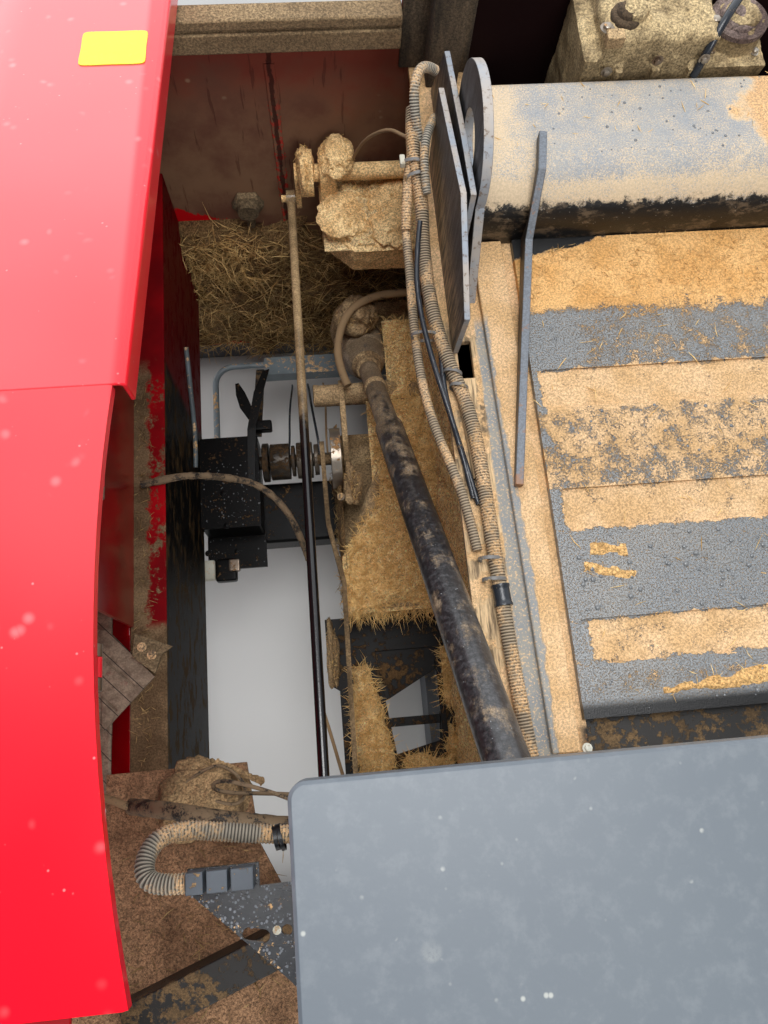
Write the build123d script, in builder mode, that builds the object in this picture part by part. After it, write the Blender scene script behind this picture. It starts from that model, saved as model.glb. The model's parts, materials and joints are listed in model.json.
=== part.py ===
"""Front drive-bay section of a large square baler: the left bay with its drives, the ribbed deck over
the bale chamber, the chamber walls, the side shield and the hood.

All lengths are millimetres. X runs to the machine's right, Y to its front and Z up from the floor.
The origin is under the middle of the section's footprint.
"""
import os
from math import cos, radians, sin, tan

from build123d import *

os.makedirs("parts", exist_ok=True)

# Fits between pieces
seat_gap = 0.3
pin_gap = 0.3
running_gap = 5.0
hose_sides = 8

# Frame: two long rails under the chamber walls, two cross tubes out to the sides
frame_length = 2000.0
frame_width = 1800.0
rail_width = 120.0
rail_height = 140.0
rail_wall = 8.0
left_rail_x = -150.0
cross_tube = 100.0
rear_tube_y = -960.0
mount_plate_size = (190.0, 200.0)
mount_plate_thickness = 12.0
mount_hole = 18.0
mount_hole_spacing = (150.0, 120.0)

# Bale chamber: walls with top flanges, mirrored about the chamber's middle plane
chamber_mid_x = 312.0
wall_outer_x = -118.0
wall_thickness = 12.0
flange_outer_x = -165.0
flange_inner_x = -30.0
flange_top_z = 1038.0
flange_thickness = 12.0
flange_slot = (22.0, 62.0)
flange_slot_centre = (-131.0, 84.0)

# Bulkhead across the front of the bay, with the rail and the post on top of it
bulkhead_y = 650.0
bulkhead_thickness = 12.0
bulkhead_left_x = -740.0
bulkhead_bottom_z = 97.0
bulkhead_top_z = 1093.0
bulkhead_right_top_z = 1180.0
bulkhead_corner = 70.0
seam_x = -413.0
seam_width = 18.0
top_rail_height = 62.0
top_rail_overhang = 24.0
top_rail_right_x = -184.0
top_groove_z = bulkhead_top_z + 0.6 * top_rail_height
post_left_x = -140.0
post_right_x = -86.0
post_depth = 50.0
post_top_z = 1330.0

# Deck over the chamber, with pressed ribs
deck_top_z = 1050.0
deck_thickness = 5.0
deck_left_x = -35.0
deck_front_y = 283.0
deck_rear_y = -460.0
rib_width = 62.0
rib_pitch = 190.0
rib_depth = 4.0
rib_count = 3
first_rib_y = 22.0
rib_end_x = -25.0
rear_plate_thickness = 6.0

# Cross beam, lifting-eye plates and gussets at the deck's front
beam_rear_y = 285.0
beam_front_y = 502.0
beam_top_z = 1150.0
beam_rear_radius = 88.0
beam_front_radius = 20.0
eye_plate_thickness = 14.0
eye_centre = (350.0, 1195.0)
eye_radius = 102.0
eye_hole = 84.0
gusset_thickness = 9.0
bar_thickness = 12.0

# Left side: rail, liner, shield
side_rail_x = -640.0
side_rail_width = 60.0
side_rail_top_z = 800.0
side_rail_bottom_z = 420.0
sheet = 6.0
side_rail_rear_y = -860.0
liner_rear_y = -250.0
liner_front_y = 620.0
liner_top_z = 1324.0
shield_top_z = 1385.0
shield_edge_x = -548.0
shield_skin = 5.0
shield_shoulder = 160.0
shield_lip = 40.0
shield_rear_lip = 12.0
shield_bottom_z = 520.0
shield_rear_y = -650.0
shield_seam_y = -95.0
shield_front_y = 930.0
shield_nose_angle = 13.5
shield_nose_drift = 15.0 / 700.0
shield_edge_sag = 14.0
shield_hinge_x = -587.0
shield_hinge_z = 1350.0
hinge_radius = 9.0
hinge_pin = 8.0
shield_hinge_ys = (-560.0, -370.0, -180.0)

# Hood over the rear of the deck
hood_left_x = -400.0
hood_front_y = -482.0
hood_rear_y = -980.0
hood_top_z = 1480.0
hood_depth = 40.0
hood_skin = 4.0
hood_corner = 14.0
hood_hinge_y = -990.0
hood_hinge_z = hood_top_z - 30.0
hood_post_top_z = hood_hinge_z - 20.0

# Guarded telescopic drive shaft, from the lower gearbox up to the upper one
upper_box_front_y = -672.0
upper_box_rear_y = -760.0
upper_box_low_z = hood_top_z - 190.0
upper_box_top_z = hood_top_z - 68.0
drive_low = Vector(-260.0, 408.0, 500.0)
drive_high = Vector(-167.2, upper_box_front_y, hood_top_z - 100.0)
drive_run = (drive_high - drive_low).normalized()
guard_inner_d = 43.0
guard_outer_d = 53.0
guard_overlap = 90.0
guard_outer_start = 400.0
guard_outer_end = (drive_high - drive_low).length - 106.0

# Trip linkage: cross shaft with lever, rod and rear arm
trip_y = 585.0
trip_z = 860.0
trip_arm = 70.0
trip_shaft_d = 32.0
rod_x = -389.0
rod_d = 16.0
eye_width = 18.0
link_pin_d = 14.0
rear_arm_y = -700.0
rear_arm_z = 1060.0

# Idler wheel on its carrier, and the hub shaft beside the drive box
tension_y = 262.0
tension_z = 550.0
tension_d = 46.0
idler_y = 115.0
idler_d = 130.0
idler_width = 22.0
idler_x = -335.0
axle_d = 20.0
hub_y = 165.0
hub_z = 415.0
hub_shaft_d = 30.0
hub_sides = 24
drive_box_low_z = 375.0
drive_box_top_z = 455.0
housing_top_z = drive_box_low_z - 20.0


def mirrored(x):
    """The same place on the other side of the chamber's middle plane."""
    return 2 * chamber_mid_x - x


def across(y):
    """Upright plane at y: drawn in X and Z, extruded rearwards."""
    return Plane.XZ.offset(-y)


def along(x):
    """Upright plane at x: drawn in Y and Z, extruded to the right."""
    return Plane.YZ.offset(x)


def level(z):
    """Level plane at z: drawn in X and Y, extruded upwards."""
    return Plane.XY.offset(z)


def rect_between(a, b):
    """Rectangle between two opposite corners, in the plane of the sketch."""
    return Polygon((a[0], a[1]), (b[0], a[1]), (b[0], b[1]), (a[0], b[1]), align=None)


def box_between(low, high, mode=Mode.ADD):
    """Block between two opposite corners."""
    size = [h - l for l, h in zip(low, high)]
    with Locations(tuple(low)):
        return Box(*size, align=(Align.MIN, Align.MIN, Align.MIN), mode=mode)


# Frame rails, cross tubes and the plates for the drawbar: hollow sections, open at their free ends
right_rail_x = mirrored(left_rail_x) - rail_width
tube_bays = (
    (-frame_width / 2, left_rail_x),
    (left_rail_x + rail_width, right_rail_x),
    (right_rail_x + rail_width, frame_width / 2),
)
with BuildPart() as frame_rails:
    for rail_x in (left_rail_x, right_rail_x):
        with BuildSketch(across(frame_length / 2)):
            with Locations((rail_x + rail_width / 2, rail_height / 2)):
                Rectangle(rail_width, rail_height)
                Rectangle(rail_width - 2 * rail_wall, rail_height - 2 * rail_wall, mode=Mode.SUBTRACT)
        extrude(amount=frame_length)
    for tube_y in (rear_tube_y, bulkhead_y + bulkhead_thickness):
        for bay_start, bay_end in tube_bays:
            with BuildSketch(along(bay_start)):
                with Locations((tube_y + cross_tube / 2, cross_tube / 2)):
                    Rectangle(cross_tube, cross_tube)
                    Rectangle(cross_tube - 2 * rail_wall, cross_tube - 2 * rail_wall, mode=Mode.SUBTRACT)
            extrude(amount=bay_end - bay_start)
    for rail_x in (left_rail_x, right_rail_x):
        with BuildSketch(across(frame_length / 2)):
            with Locations((rail_x + rail_width / 2, mount_plate_size[1] / 2)):
                Rectangle(*mount_plate_size)
                with GridLocations(*mount_hole_spacing, 2, 2):
                    Circle(mount_hole / 2, mode=Mode.SUBTRACT)
        extrude(amount=mount_plate_thickness)


def chamber_wall(outer_x, side):
    """Side wall with a top flange; side is 1 where the chamber lies towards +X."""
    inner_x = outer_x + side * wall_thickness
    lip_x = flange_outer_x if side > 0 else mirrored(flange_outer_x)
    edge_x = flange_inner_x if side > 0 else mirrored(flange_inner_x)
    slot_x = flange_slot_centre[0] if side > 0 else mirrored(flange_slot_centre[0])
    web = sorted((outer_x, inner_x))
    top = sorted((lip_x, edge_x))
    with BuildPart() as wall:
        box_between((web[0], -frame_length / 2, rail_height), (web[1], bulkhead_y, flange_top_z))
        box_between(
            (top[0], -frame_length / 2, flange_top_z - flange_thickness),
            (top[1], bulkhead_y, flange_top_z),
        )
        with BuildSketch(level(flange_top_z)):
            with Locations((slot_x, flange_slot_centre[1])):
                Rectangle(*flange_slot)
        extrude(amount=-flange_thickness, mode=Mode.SUBTRACT)
    return wall.part


wall_left = chamber_wall(wall_outer_x, 1)
wall_right = chamber_wall(mirrored(wall_outer_x), -1)
chamber_inner_x = wall_outer_x + wall_thickness

# Deck: a sheet with pressed ribs, its sides and rear edge turned down
with BuildPart() as deck:
    deck_right_x = mirrored(deck_left_x)
    box_between(
        (deck_left_x, deck_rear_y, deck_top_z - deck_thickness),
        (deck_right_x, deck_front_y, deck_top_z),
    )
    for leg_x in (deck_left_x, deck_right_x - deck_thickness):
        box_between(
            (leg_x, deck_rear_y, flange_top_z),
            (leg_x + deck_thickness, deck_front_y, deck_top_z - deck_thickness),
        )
    box_between(
        (deck_left_x, deck_rear_y, flange_top_z),
        (deck_right_x, deck_rear_y + deck_thickness, deck_top_z - deck_thickness),
    )
    for rib in range(rib_count):
        with BuildSketch(level(deck_top_z - rib_depth)) as groove:
            with Locations((chamber_mid_x, first_rib_y - rib * rib_pitch)):
                RectangleRounded(mirrored(rib_end_x) - rib_end_x, rib_width, 12)
        extrude(groove.sketch, amount=rib_depth, mode=Mode.SUBTRACT)
        extrude(groove.sketch, amount=-deck_thickness)

# Lower plate that the deck's rear edge overlaps
with BuildPart() as rear_plate:
    plate_top_z = flange_top_z - flange_thickness
    box_between(
        (chamber_inner_x + seat_gap, -frame_length / 2, plate_top_z - rear_plate_thickness),
        (mirrored(chamber_inner_x) - seat_gap, deck_rear_y + 20, plate_top_z),
    )

# Edge strips on the wall flanges, a little narrower towards the rear
strip_outline = ((-100.0, 283.0), (-52.0, 283.0), (-46.0, -500.0), (-84.0, -500.0))
with BuildPart() as edge_strips:
    for flip in (False, True):
        corners = [(mirrored(x) if flip else x, y) for x, y in strip_outline]
        with BuildSketch(level(flange_top_z)):
            Polygon(*corners, align=None)
        extrude(amount=deck_top_z - flange_top_z)

# Cross beam with a large roll along its rear edge
beam_left_x = wall_outer_x + eye_plate_thickness
with BuildPart() as cross_beam:
    with BuildSketch(along(beam_left_x)) as section:
        rect_between((beam_rear_y, flange_top_z), (beam_front_y, beam_top_z))
        top_corners = section.vertices().group_by(Axis.Y)[-1].sort_by(Axis.X)
        fillet(top_corners[0], beam_rear_radius)
        fillet(section.vertices().sort_by(Axis.Y)[-2:].sort_by(Axis.X)[-1], beam_front_radius)
    extrude(amount=mirrored(beam_left_x) - beam_left_x)

# Lifting-eye plates at both ends of the beam
with BuildPart() as eye_plates:
    for plate_x in (wall_outer_x, mirrored(beam_left_x)):
        with BuildSketch(along(plate_x)):
            with Locations(eye_centre):
                Circle(eye_radius)
            Polygon(
                (180, flange_top_z),
                (480, flange_top_z),
                (eye_centre[0] + eye_radius, eye_centre[1] - 20),
                (eye_centre[0] - eye_radius, eye_centre[1] - 20),
                align=None,
            )
            with Locations(eye_centre):
                Circle(eye_hole / 2, mode=Mode.SUBTRACT)
        extrude(amount=eye_plate_thickness)

# Two gusset plates beside the left eye plate: (left face x, outline in Y and Z)
gusset_table = (
    (-132.0, ((230, 1038), (595, 1038), (530, 1178), (350, 1208), (240, 1218))),
    (-150.0, ((95, 1038), (450, 1038), (455, 1185), (230, 1236), (85, 1156))),
)
with BuildPart() as gusset_plates:
    for face_x, corners in gusset_table:
        with BuildSketch(along(face_x)):
            Polygon(*corners, align=None)
        extrude(amount=gusset_thickness)

# Flat bar on edge, from the beam's top down to the deck's left strip
bar_start = Vector(3.0, 386.0, 0.0)
bar_end = Vector(-81.0, -130.0, 0.0)
bar_run = (bar_end - bar_start).normalized()
bar_plane = Plane(origin=bar_start, x_dir=bar_run, z_dir=Vector(bar_run.Y, -bar_run.X, 0))
bar_length = (bar_end - bar_start).length
roll_start = (bar_start.Y - beam_rear_y - beam_rear_radius) / -bar_run.Y
roll_end = (bar_start.Y - beam_rear_y) / -bar_run.Y + 1.5
with BuildPart() as flat_bar:
    with BuildSketch(bar_plane):
        Polygon(
            (0, beam_top_z),
            (roll_start + 38, beam_top_z),
            (roll_end, beam_top_z - 51),
            (roll_end, deck_top_z),
            (bar_length, deck_top_z),
            (bar_length, deck_top_z + 13),
            (130, deck_top_z + 36),
            (66, beam_top_z + 16),
            (0, beam_top_z + 18),
            align=None,
        )
    extrude(amount=bar_thickness / 2, both=True)

# Bulkhead: one wall across bay and chamber, notched over the frame rails
with BuildPart() as bulkhead:
    with BuildSketch(across(bulkhead_y + bulkhead_thickness)) as wall_face:
        rect_between((bulkhead_left_x, bulkhead_bottom_z), (-183, bulkhead_top_z))
        fillet(wall_face.vertices().sort_by(Axis.X)[:2].sort_by(Axis.Y)[0], bulkhead_corner)
        rect_between((-183, rail_height), (mirrored(left_rail_x), bulkhead_right_top_z))
    extrude(amount=bulkhead_thickness)
    with BuildSketch(across(bulkhead_y)):
        rect_between((seam_x, bulkhead_bottom_z), (seam_x + seam_width, bulkhead_top_z - 40))
    extrude(amount=4)
    with BuildSketch(level(900)):
        rect_between((chamber_inner_x, beam_front_y), (mirrored(chamber_inner_x), bulkhead_y))
    extrude(amount=-sheet)

with BuildPart() as top_rail:
    box_between(
        (bulkhead_left_x, bulkhead_y - top_rail_overhang, bulkhead_top_z),
        (top_rail_right_x, bulkhead_y + bulkhead_thickness, bulkhead_top_z + top_rail_height),
    )
    with BuildSketch(across(bulkhead_y - top_rail_overhang)):
        rect_between((bulkhead_left_x, top_groove_z), (top_rail_right_x, top_groove_z + 6))
    extrude(amount=-10, mode=Mode.SUBTRACT)

# Corner post: a folded column on the wall's flange, with side leaves against the bulkhead
with BuildPart() as corner_post:
    box_between((post_left_x, bulkhead_y - post_depth, flange_top_z), (post_right_x, bulkhead_y, post_top_z))
    box_between((-183, bulkhead_y - sheet, flange_top_z), (post_left_x, bulkhead_y, post_top_z))
    box_between((post_right_x, bulkhead_y - 20, flange_top_z), (-66, bulkhead_y, post_top_z))

# Sensor on the bulkhead, with its cap and gland
with BuildPart() as level_sensor:
    with BuildSketch(across(bulkhead_y)):
        with Locations((-483, 705)):
            RegularPolygon(34, 6)
    extrude(amount=16)
    with BuildSketch(across(bulkhead_y - 16)):
        with Locations((-483, 705)):
            Circle(22)
    extrude(amount=16)
    with BuildSketch(level(690)):
        with Locations((-483, bulkhead_y - 14)):
            Circle(9)
    extrude(amount=-48)

# Main gearbox on its bed: a ribbed casting with a side flange, a filler plug and a round cover
with BuildPart() as main_gearbox:
    with BuildSketch(level(900)):
        rect_between((104, 510), (300, bulkhead_y - seat_gap))
    extrude(amount=300, taper=2)
    fillet(main_gearbox.edges().filter_by(Axis.Z, reverse=True).group_by(Axis.Z)[-1], 14)
    box_between((88, 512, 900), (106, bulkhead_y - seat_gap, 1168))
    box_between((298, 530, 940), (400, bulkhead_y - seat_gap, 1130))
    with BuildSketch(Plane(origin=(352, 590, 1130), z_dir=(0, 0, 1))):
        Circle(44)
    extrude(amount=34)
    with BuildSketch(Plane(origin=(352, 590, 1164), z_dir=(0, 0, 1))):
        Circle(26)
    extrude(amount=12)
    with BuildSketch(level(1196)):
        with Locations((160, 560)):
            RegularPolygon(20, 6)
    extrude(amount=22)
    for rib_x in (140, 200, 260):
        box_between((rib_x, 506, 920), (rib_x + 10, 516, 1150))

# Side rail: a channel that opens outwards, on a post at its rear end
with BuildPart() as side_rail:
    rail_left_x = side_rail_x - side_rail_width
    box_between((side_rail_x - sheet, side_rail_rear_y, side_rail_bottom_z), (side_rail_x, bulkhead_y, side_rail_top_z))
    for flange_z in (side_rail_top_z - sheet, side_rail_bottom_z):
        box_between((rail_left_x, side_rail_rear_y, flange_z), (side_rail_x, bulkhead_y, flange_z + sheet))
    box_between(
        (rail_left_x, side_rail_rear_y - 60, cross_tube),
        (side_rail_x, side_rail_rear_y, liner_top_z - sheet),
    )

# Side liner: upright sheet on the side rail, carrying the shield's hinge flange
with BuildPart() as side_liner:
    with BuildSketch(along(rail_left_x)):
        Polygon(
            (liner_rear_y, side_rail_top_z),
            (liner_front_y, side_rail_top_z),
            (liner_front_y, 1080),
            (-110, liner_top_z),
            (side_rail_rear_y, liner_top_z),
            (side_rail_rear_y, 1230),
            (liner_rear_y, 1230),
            align=None,
        )
    extrude(amount=sheet)
    box_between((rail_left_x, side_rail_rear_y - 60, liner_top_z - sheet), (shield_hinge_x - 22, -110, liner_top_z))

# Shield hinges: two fixed knuckles and a pin at each hinge, on the liner's flange
with BuildPart() as shield_hinges:
    for hinge_y in shield_hinge_ys:
        for knuckle_y in (hinge_y + 22, hinge_y - 10):
            with BuildSketch(across(knuckle_y)):
                with Locations((shield_hinge_x, shield_hinge_z)):
                    Circle(hinge_radius)
                Polygon(
                    (shield_hinge_x - 45, liner_top_z),
                    (shield_hinge_x - 24, liner_top_z),
                    (shield_hinge_x + 4, shield_hinge_z - 7),
                    (shield_hinge_x - 5, shield_hinge_z + 7),
                    align=None,
                )
            extrude(amount=12)
        with BuildSketch(across(hinge_y + 22)):
            with Locations((shield_hinge_x, shield_hinge_z)):
                Circle(hinge_pin / 2)
        extrude(amount=44)


# Rear shield: flat top, rounded shoulder and upright side; its inner edge bows in plan and is turned down
outer_x = -frame_width / 2
half_skin = shield_skin / 2
edge_middle_y = (shield_seam_y + shield_rear_y) / 2
edge_points = (
    (shield_edge_x - 18, shield_seam_y),
    (shield_edge_x - 18 - shield_edge_sag, edge_middle_y),
    (shield_edge_x, shield_rear_y),
)
with BuildPart() as shield_rear:
    with BuildSketch(across(shield_seam_y)):
        with BuildLine():
            rear_band = FilletPolyline(
                (shield_edge_x - 40, shield_top_z - half_skin),
                (outer_x + half_skin, shield_top_z - half_skin),
                (outer_x + half_skin, shield_bottom_z),
                radius=shield_shoulder - half_skin,
            )
        trace(line_width=shield_skin)
    extrude(amount=shield_seam_y - shield_rear_y)
    with BuildSketch(level(shield_top_z - shield_skin)):
        with BuildLine():
            bow = ThreePointArc(*edge_points)
            Polyline(bow @ 1, (shield_edge_x - 40, shield_rear_y), (shield_edge_x - 40, shield_seam_y), bow @ 0)
        make_face()
    extrude(amount=shield_skin)
    with BuildLine() as lip_line:
        ThreePointArc(*[(x, y, shield_top_z) for x, y in edge_points])
    with BuildSketch(Plane(origin=lip_line.line @ 0, x_dir=(0, 0, 1), z_dir=lip_line.line % 0)):
        rect_between((0, 0), (-shield_rear_lip, -shield_skin))
    sweep()
    for hinge_y in shield_hinge_ys:
        with BuildSketch(across(hinge_y + 9.5)):
            with Locations((shield_hinge_x, shield_hinge_z)):
                Circle(hinge_radius)
            rect_between((shield_hinge_x - 7, shield_hinge_z), (shield_hinge_x + 7, shield_top_z - shield_skin))
            with Locations((shield_hinge_x, shield_hinge_z)):
                Circle(hinge_pin / 2 + pin_gap, mode=Mode.SUBTRACT)
        extrude(amount=19)

# Front shield: the same section, drooping towards the front, with a level lower edge
nose_dir = Vector(shield_nose_drift, 1, -tan(radians(shield_nose_angle))).normalized()
nose_length = (shield_front_y - shield_seam_y) / nose_dir.Y
with BuildPart() as shield_front:
    with BuildSketch(across(shield_seam_y + seat_gap)):
        with BuildLine():
            FilletPolyline(
                (shield_edge_x - half_skin, shield_top_z - shield_lip),
                (shield_edge_x - half_skin, shield_top_z - half_skin),
                (outer_x + half_skin, shield_top_z - half_skin),
                (outer_x + half_skin, shield_bottom_z),
                radius=(6, shield_shoulder - half_skin),
            )
        trace(line_width=shield_skin)
    extrude(amount=nose_length, dir=nose_dir)
    with Locations((0, 0, 0)):
        Box(
            4 * frame_width,
            4 * frame_width,
            2 * shield_bottom_z,
            mode=Mode.SUBTRACT,
        )

# Hood: a pan over the deck's rear, with hinge lugs behind it
with BuildPart() as hood:
    with BuildSketch(level(hood_top_z - hood_depth)) as plan:
        rect_between((hood_left_x, hood_rear_y), (-outer_x, hood_front_y))
        fillet(plan.vertices(), hood_corner)
    extrude(amount=hood_depth)
    chamfer(hood.faces().sort_by(Axis.Z)[-1].edges(), hood_skin - 1)
    with BuildSketch(level(hood_top_z - hood_depth)) as inside:
        rect_between(
            (hood_left_x + hood_skin, hood_rear_y + hood_skin),
            (-outer_x - hood_skin, hood_front_y - hood_skin),
        )
        fillet(inside.vertices(), hood_corner - hood_skin)
    extrude(amount=hood_depth - hood_skin, mode=Mode.SUBTRACT)
    for lug_x in (-125.0, mirrored(-125.0)):
        with BuildSketch(along(lug_x - 9.5)):
            with Locations((hood_hinge_y, hood_hinge_z)):
                Circle(hinge_radius)
            rect_between((hood_hinge_y, hood_hinge_z - 7), (hood_rear_y + 1, hood_hinge_z + 7))
            with Locations((hood_hinge_y, hood_hinge_z)):
                Circle(hinge_pin / 2 + pin_gap, mode=Mode.SUBTRACT)
        extrude(amount=19)

with BuildPart() as hood_posts:
    for lug_x in (-125.0, mirrored(-125.0)):
        box_between((lug_x - 25, hood_hinge_y - 10, flange_top_z), (lug_x + 25, hood_hinge_y + 40, hood_post_top_z))
        for side_x in (lug_x - 22, lug_x + 10):
            with BuildSketch(along(side_x)):
                with Locations((hood_hinge_y, hood_hinge_z)):
                    Circle(hinge_radius)
                rect_between(
                    (hood_hinge_y - hinge_radius, hood_post_top_z),
                    (hood_hinge_y + hinge_radius, hood_hinge_z),
                )
            extrude(amount=12)
        with BuildSketch(along(lug_x - 22)):
            with Locations((hood_hinge_y, hood_hinge_z)):
                Circle(hinge_pin / 2)
        extrude(amount=44)

# Guarded drive shaft: both tubes lie on one slanted axis
drive_plane = Plane(origin=drive_low, z_dir=drive_run)
guard_section = Plane(origin=drive_low, x_dir=drive_plane.x_dir, z_dir=drive_plane.y_dir * -1)
lower_profile = (
    (0, -30),
    (40, -30),
    (55, -8),
    (55, 20),
    (47, 48),
    (50, 58),
    (45, 67),
    (49, 78),
    (38, 112),
    (guard_inner_d / 2, 128),
    (guard_inner_d / 2, guard_outer_start + guard_overlap),
    (0, guard_outer_start + guard_overlap),
)
with BuildPart() as guard_lower:
    with BuildSketch(guard_section):
        Polygon(*lower_profile, align=None)
    revolve(axis=Axis(drive_low, drive_run))

upper_profile = (
    (guard_inner_d / 2 + pin_gap, guard_outer_start),
    (guard_outer_d / 2 - 3, guard_outer_start),
    (guard_outer_d / 2, guard_outer_start + 6),
    (guard_outer_d / 2, guard_outer_end - 40),
    (34, guard_outer_end - 20),
    (46, guard_outer_end + 20),
    (46, guard_outer_end + 50),
    (0, guard_outer_end + 50),
    (0, guard_outer_start + guard_overlap + 10),
    (guard_inner_d / 2 + pin_gap, guard_outer_start + guard_overlap + 10),
)
with BuildPart() as guard_upper:
    with BuildSketch(guard_section):
        Polygon(*upper_profile, align=None)
    revolve(axis=Axis(drive_low, drive_run))
    with BuildSketch(drive_plane.offset(guard_outer_start + 60)):
        for rib_angle in (20, 60):
            with Locations((guard_outer_d / 2 * cos(radians(rib_angle)), guard_outer_d / 2 * sin(radians(rib_angle)))):
                Circle(4)
        Circle(guard_outer_d / 2 - 2, mode=Mode.SUBTRACT)
    extrude(amount=guard_outer_end - guard_outer_start - 110)

# Gearboxes at the two ends of the drive shaft
with BuildPart() as joint_gearbox:
    with BuildSketch(drive_plane.offset(-30 - seat_gap)):
        Circle(58)
    extrude(amount=-80)
    box_between((drive_low.X - 10, 440, 390), (wall_outer_x, 530, 480))
    box_between((wall_outer_x - 10, 415, 366), (wall_outer_x, 555, 506))

with BuildPart() as top_gearbox:
    with BuildSketch(drive_plane.offset(guard_outer_end + 50 + seat_gap)):
        Circle(42)
    extrude(amount=60)
    box_between((-235, upper_box_rear_y, upper_box_low_z), (-60, upper_box_front_y, upper_box_top_z))
    fillet(top_gearbox.edges().filter_by(Axis.Y), 12)
    box_between((-100, upper_box_rear_y, flange_top_z), (-60, upper_box_front_y, upper_box_low_z + 10))
    with BuildSketch(level(upper_box_top_z)):
        with Locations((-150, (upper_box_front_y + upper_box_rear_y) / 2)):
            Circle(15)
    extrude(amount=hood_top_z - hood_skin - seat_gap - upper_box_top_z)

# Trip linkage: folded shelf with two bearing blocks, on the chamber wall
shelf_z = 812.0
shelf_outline = ((-330, 625), (-330, 500), (-275, 440), (wall_outer_x, 440), (wall_outer_x, 625))
with BuildPart() as trip_bracket:
    with BuildSketch(level(shelf_z)) as shelf:
        Polygon(*shelf_outline, align=None)
    extrude(amount=-62)
    with BuildSketch(level(shelf_z - sheet)):
        add(shelf.sketch)
        offset(amount=-sheet, kind=Kind.INTERSECTION)
    extrude(amount=-62, mode=Mode.SUBTRACT)
    for block_x in (-330.0, -160.0):
        with BuildSketch(along(block_x)):
            rect_between((trip_y - 30, shelf_z), (trip_y + 30, trip_z))
            with Locations((trip_y, trip_z)):
                Circle(30)
                Circle(trip_shaft_d / 2 + pin_gap, mode=Mode.SUBTRACT)
        extrude(amount=30)


def slot_between(a, b, radius):
    """Link outline: a band with round ends between two centres, in the plane of the sketch."""
    run = (Vector(*b) - Vector(*a)).normalized()
    side = Vector(-run.Y, run.X) * radius
    Polygon(
        (a[0] + side.X, a[1] + side.Y),
        (b[0] + side.X, b[1] + side.Y),
        (b[0] - side.X, b[1] - side.Y),
        (a[0] - side.X, a[1] - side.Y),
        align=None,
    )
    with Locations(a, b):
        Circle(radius)


lever_x = rod_x + eye_width / 2 + 2
front_pin = (trip_y, trip_z - trip_arm)
rear_pin = (rear_arm_y, rear_arm_z - trip_arm)

# Cross shaft with its hub, lever and rod pin
with BuildPart() as trip_shaft:
    with BuildSketch(along(lever_x)):
        slot_between((trip_y, trip_z), front_pin, 19)
    extrude(amount=10)
    with BuildSketch(along(lever_x + 10)):
        with Locations((trip_y, trip_z)):
            Circle(42)
    extrude(amount=26)
    with BuildSketch(along(lever_x + 10)):
        with Locations((trip_y, trip_z)):
            Circle(trip_shaft_d / 2)
    extrude(amount=wall_outer_x - running_gap - lever_x - 10)
    with BuildSketch(along(lever_x)):
        with Locations(front_pin):
            Circle(link_pin_d / 2)
    extrude(amount=-eye_width - 12)

with BuildPart() as rear_arm:
    with BuildSketch(along(lever_x)):
        slot_between((rear_arm_y, rear_arm_z), rear_pin, 18)
    extrude(amount=10)
    with BuildSketch(along(lever_x)):
        with Locations(rear_pin):
            Circle(link_pin_d / 2)
    extrude(amount=-eye_width - 12)
    with BuildSketch(along(lever_x + 10)):
        with Locations((rear_arm_y, rear_arm_z)):
            Circle(link_pin_d / 2)
    extrude(amount=24)

# Rod with an eye at each end
rod_length = Vector(rear_pin[0] - front_pin[0], rear_pin[1] - front_pin[1]).length
rod_dir = Vector(0, rear_pin[0] - front_pin[0], rear_pin[1] - front_pin[1]).normalized()
with BuildPart() as linkage_rod:
    with BuildSketch(Plane(origin=Vector(rod_x, *front_pin) + rod_dir * 10, z_dir=rod_dir)):
        Circle(rod_d / 2)
    extrude(amount=rod_length - 20)
    with BuildSketch(along(rod_x - eye_width / 2)):
        with Locations(front_pin, rear_pin):
            Circle(16)
    extrude(amount=eye_width)
    with BuildSketch(along(rod_x - eye_width / 2)):
        with Locations(front_pin, rear_pin):
            Circle(link_pin_d / 2 + pin_gap)
    extrude(amount=eye_width, mode=Mode.SUBTRACT)

# Cross tube from the wall, with the idler's carrier clamped on it
with BuildPart() as tension_tube:
    with BuildSketch(along(-374)):
        with Locations((tension_y, tension_z)):
            Circle(tension_d / 2)
    extrude(amount=wall_outer_x + 374)

carrier_x = idler_x + idler_width / 2 + running_gap
idler_z = tension_z
with BuildPart() as idler_carrier:
    with BuildSketch(along(carrier_x)):
        slot_between((tension_y, tension_z), (idler_y, idler_z), 20)
        with Locations((tension_y, tension_z)):
            Circle(tension_d / 2 + 9)
            Circle(tension_d / 2 + pin_gap, mode=Mode.SUBTRACT)
    extrude(amount=12)
    with BuildSketch(along(carrier_x)):
        with Locations((idler_y, idler_z)):
            Circle(axle_d / 2)
    extrude(amount=-56)

with BuildPart() as idler_wheel:
    with BuildSketch(along(idler_x - idler_width / 2)):
        with Locations((idler_y, idler_z)):
            Circle(idler_d / 2)
            Circle(axle_d / 2 + pin_gap, mode=Mode.SUBTRACT)
    extrude(amount=idler_width)
    with BuildSketch(along(idler_x + idler_width / 2)):
        with Locations((idler_y, idler_z)):
            Circle(idler_d / 2 - 12)
            Circle(idler_d / 2 - 40, mode=Mode.SUBTRACT)
    extrude(amount=-4, mode=Mode.SUBTRACT)

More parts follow.
